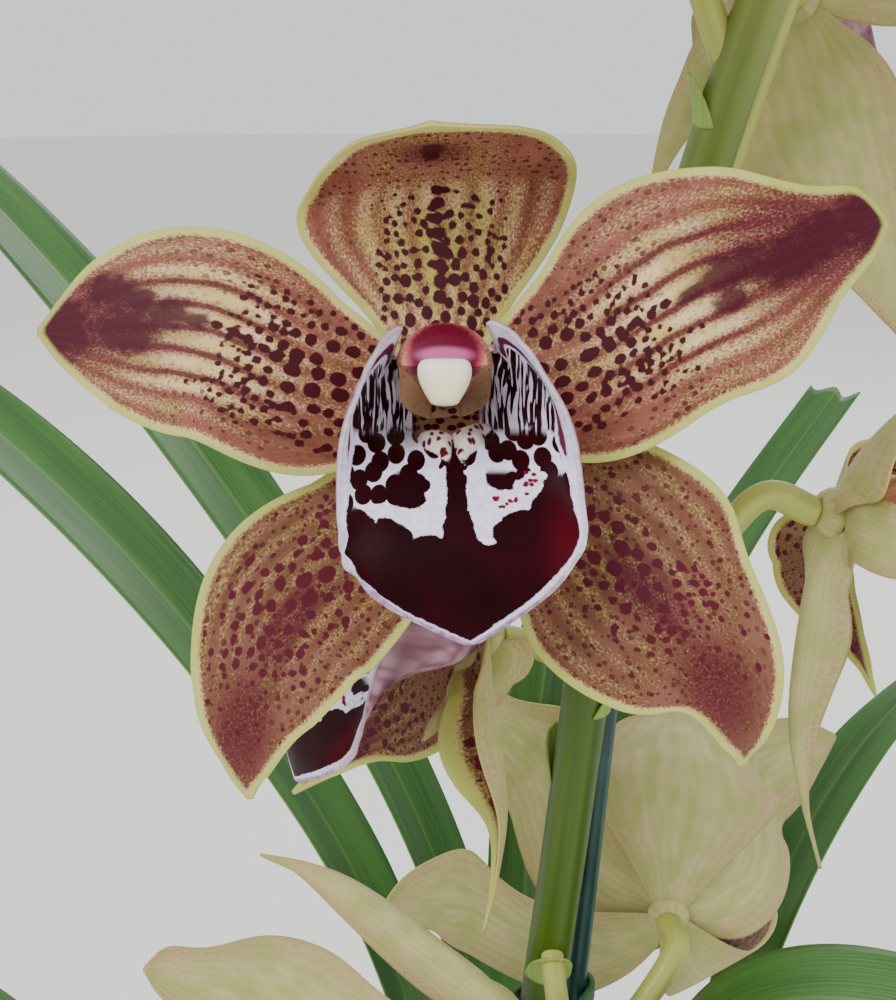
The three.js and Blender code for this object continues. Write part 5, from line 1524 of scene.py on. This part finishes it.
spike_steps = np.linspace(0, 1, 320)
spike_line = smooth(SPIKE_LINE, spike_steps)
paler = 0.55 * step(600, 690, spike_line[:, 2:])
spike = [tube(spike_line, smooth(SPIKE_RADII, spike_steps), 48, stalk=paler)]
spike += [make_stalk(bloom) for bloom in BLOOMS.values()]
spike += [make_bud(entry) for entry in BUDS]
spike += [make_sheath(height) for height in SHEATHS]
for bloom in BLOOMS.values():
    start, bend = stalk_line(bloom)[:2]
    spike.append(make_bract(bloom["from"] - 4, bend - start, 8))
spike += [make_bract(entry["from"] - 3, entry["out"], 7) for entry in BUDS]
build("spike", spike, [STEM, HUSK, BUD], "flower_spike")

for number, (x, y, radius) in enumerate(BULBS):
    growth = make_bulb(x, y, radius, number)
    leaves = [(leaf["line"], leaf["width"], leaf["facing"], leaf.get("cut", False))
              for leaf in SHOWN_LEAVES if leaf["bulb"] == number]
    for bulb, turn, length, lean, droop in FAN_LEAVES:
        if bulb == number:
            line, out = arched_line(bulb, turn, length, lean, droop)
            leaves.append((line, FAN_WIDTH, out, False))
    growth += [make_leaf(line, width, facing, cut, 10 * number + k)
               for k, (line, width, facing, cut) in enumerate(leaves)]
    build(f"growth_{number + 1}_leaves", growth, [LEAF, BULB], f"growth_{number + 1}")

stake_line = stake_at(np.linspace(STAKE_BOTTOM, STAKE_TOP, 60)[:, None])
build("stake_rod", [tube(stake_line, STAKE_RADIUS, 32)], [STAKE], "stake")
for tie_name, tie_level in TIE_LEVELS.items():
    make_tie(tie_name, tie_level)
make_pot()
make_bark()

# Floor, light and camera
floor_shade = Finish("floor", 0.9, 0.1)
cloud = floor_shade.noise(floor_shade.place(0.001), 1.0, 2.0)
floor_paint = floor_shade.done(floor_shade.mix(cloud, paint(236, 234, 230), paint(240, 238, 234)))
bpy.ops.mesh.primitive_circle_add(vertices=96, radius=FLOOR_RADIUS, fill_type="NGON")
floor = bpy.context.object
floor.name = "floor"
floor.data.materials.append(floor_paint)

world = bpy.data.worlds.new("studio")
world.use_nodes = True
world.node_tree.nodes["Background"].inputs["Color"].default_value = SKY_TINT
world.node_tree.nodes["Background"].inputs["Strength"].default_value = SKY_STRENGTH
bpy.context.scene.world = world


def lamp(name, place, size, power):
    """A square lamp that faces the plant; place and size in metres, power in watts."""
    data = bpy.data.lights.new(name, "AREA")
    data.size, data.energy = size, power
    lamp_object = bpy.data.objects.new(name, data)
    lamp_object.location = place
    bpy.context.scene.collection.objects.link(lamp_object)
    lamp_object.rotation_mode = "QUATERNION"
    lamp_object.rotation_quaternion = (Vector(LAMP_AIM) - Vector(place)).to_track_quat("-Z", "Y")
    return lamp_object


key = lamp("key", (-1.2, -1.6, 2.2), 1.2, 44)
fill = lamp("fill", (1.8, -1.2, 1.3), 1.6, 14)
back = lamp("back", (0.6, 1.9, 1.9), 1.4, 20)

data = bpy.data.cameras.new("camera")
data.lens = CAMERA_LENS
data.sensor_width = SENSOR_WIDTH
data.clip_start = 0.01
data.clip_end = 100
camera = bpy.data.objects.new("camera", data)
camera.location = CAMERA_PLACE
camera.rotation_euler = (CAMERA_TILT, 0, 0)
bpy.context.scene.collection.objects.link(camera)
bpy.context.scene.camera = camera

bpy.context.view_layer.update()
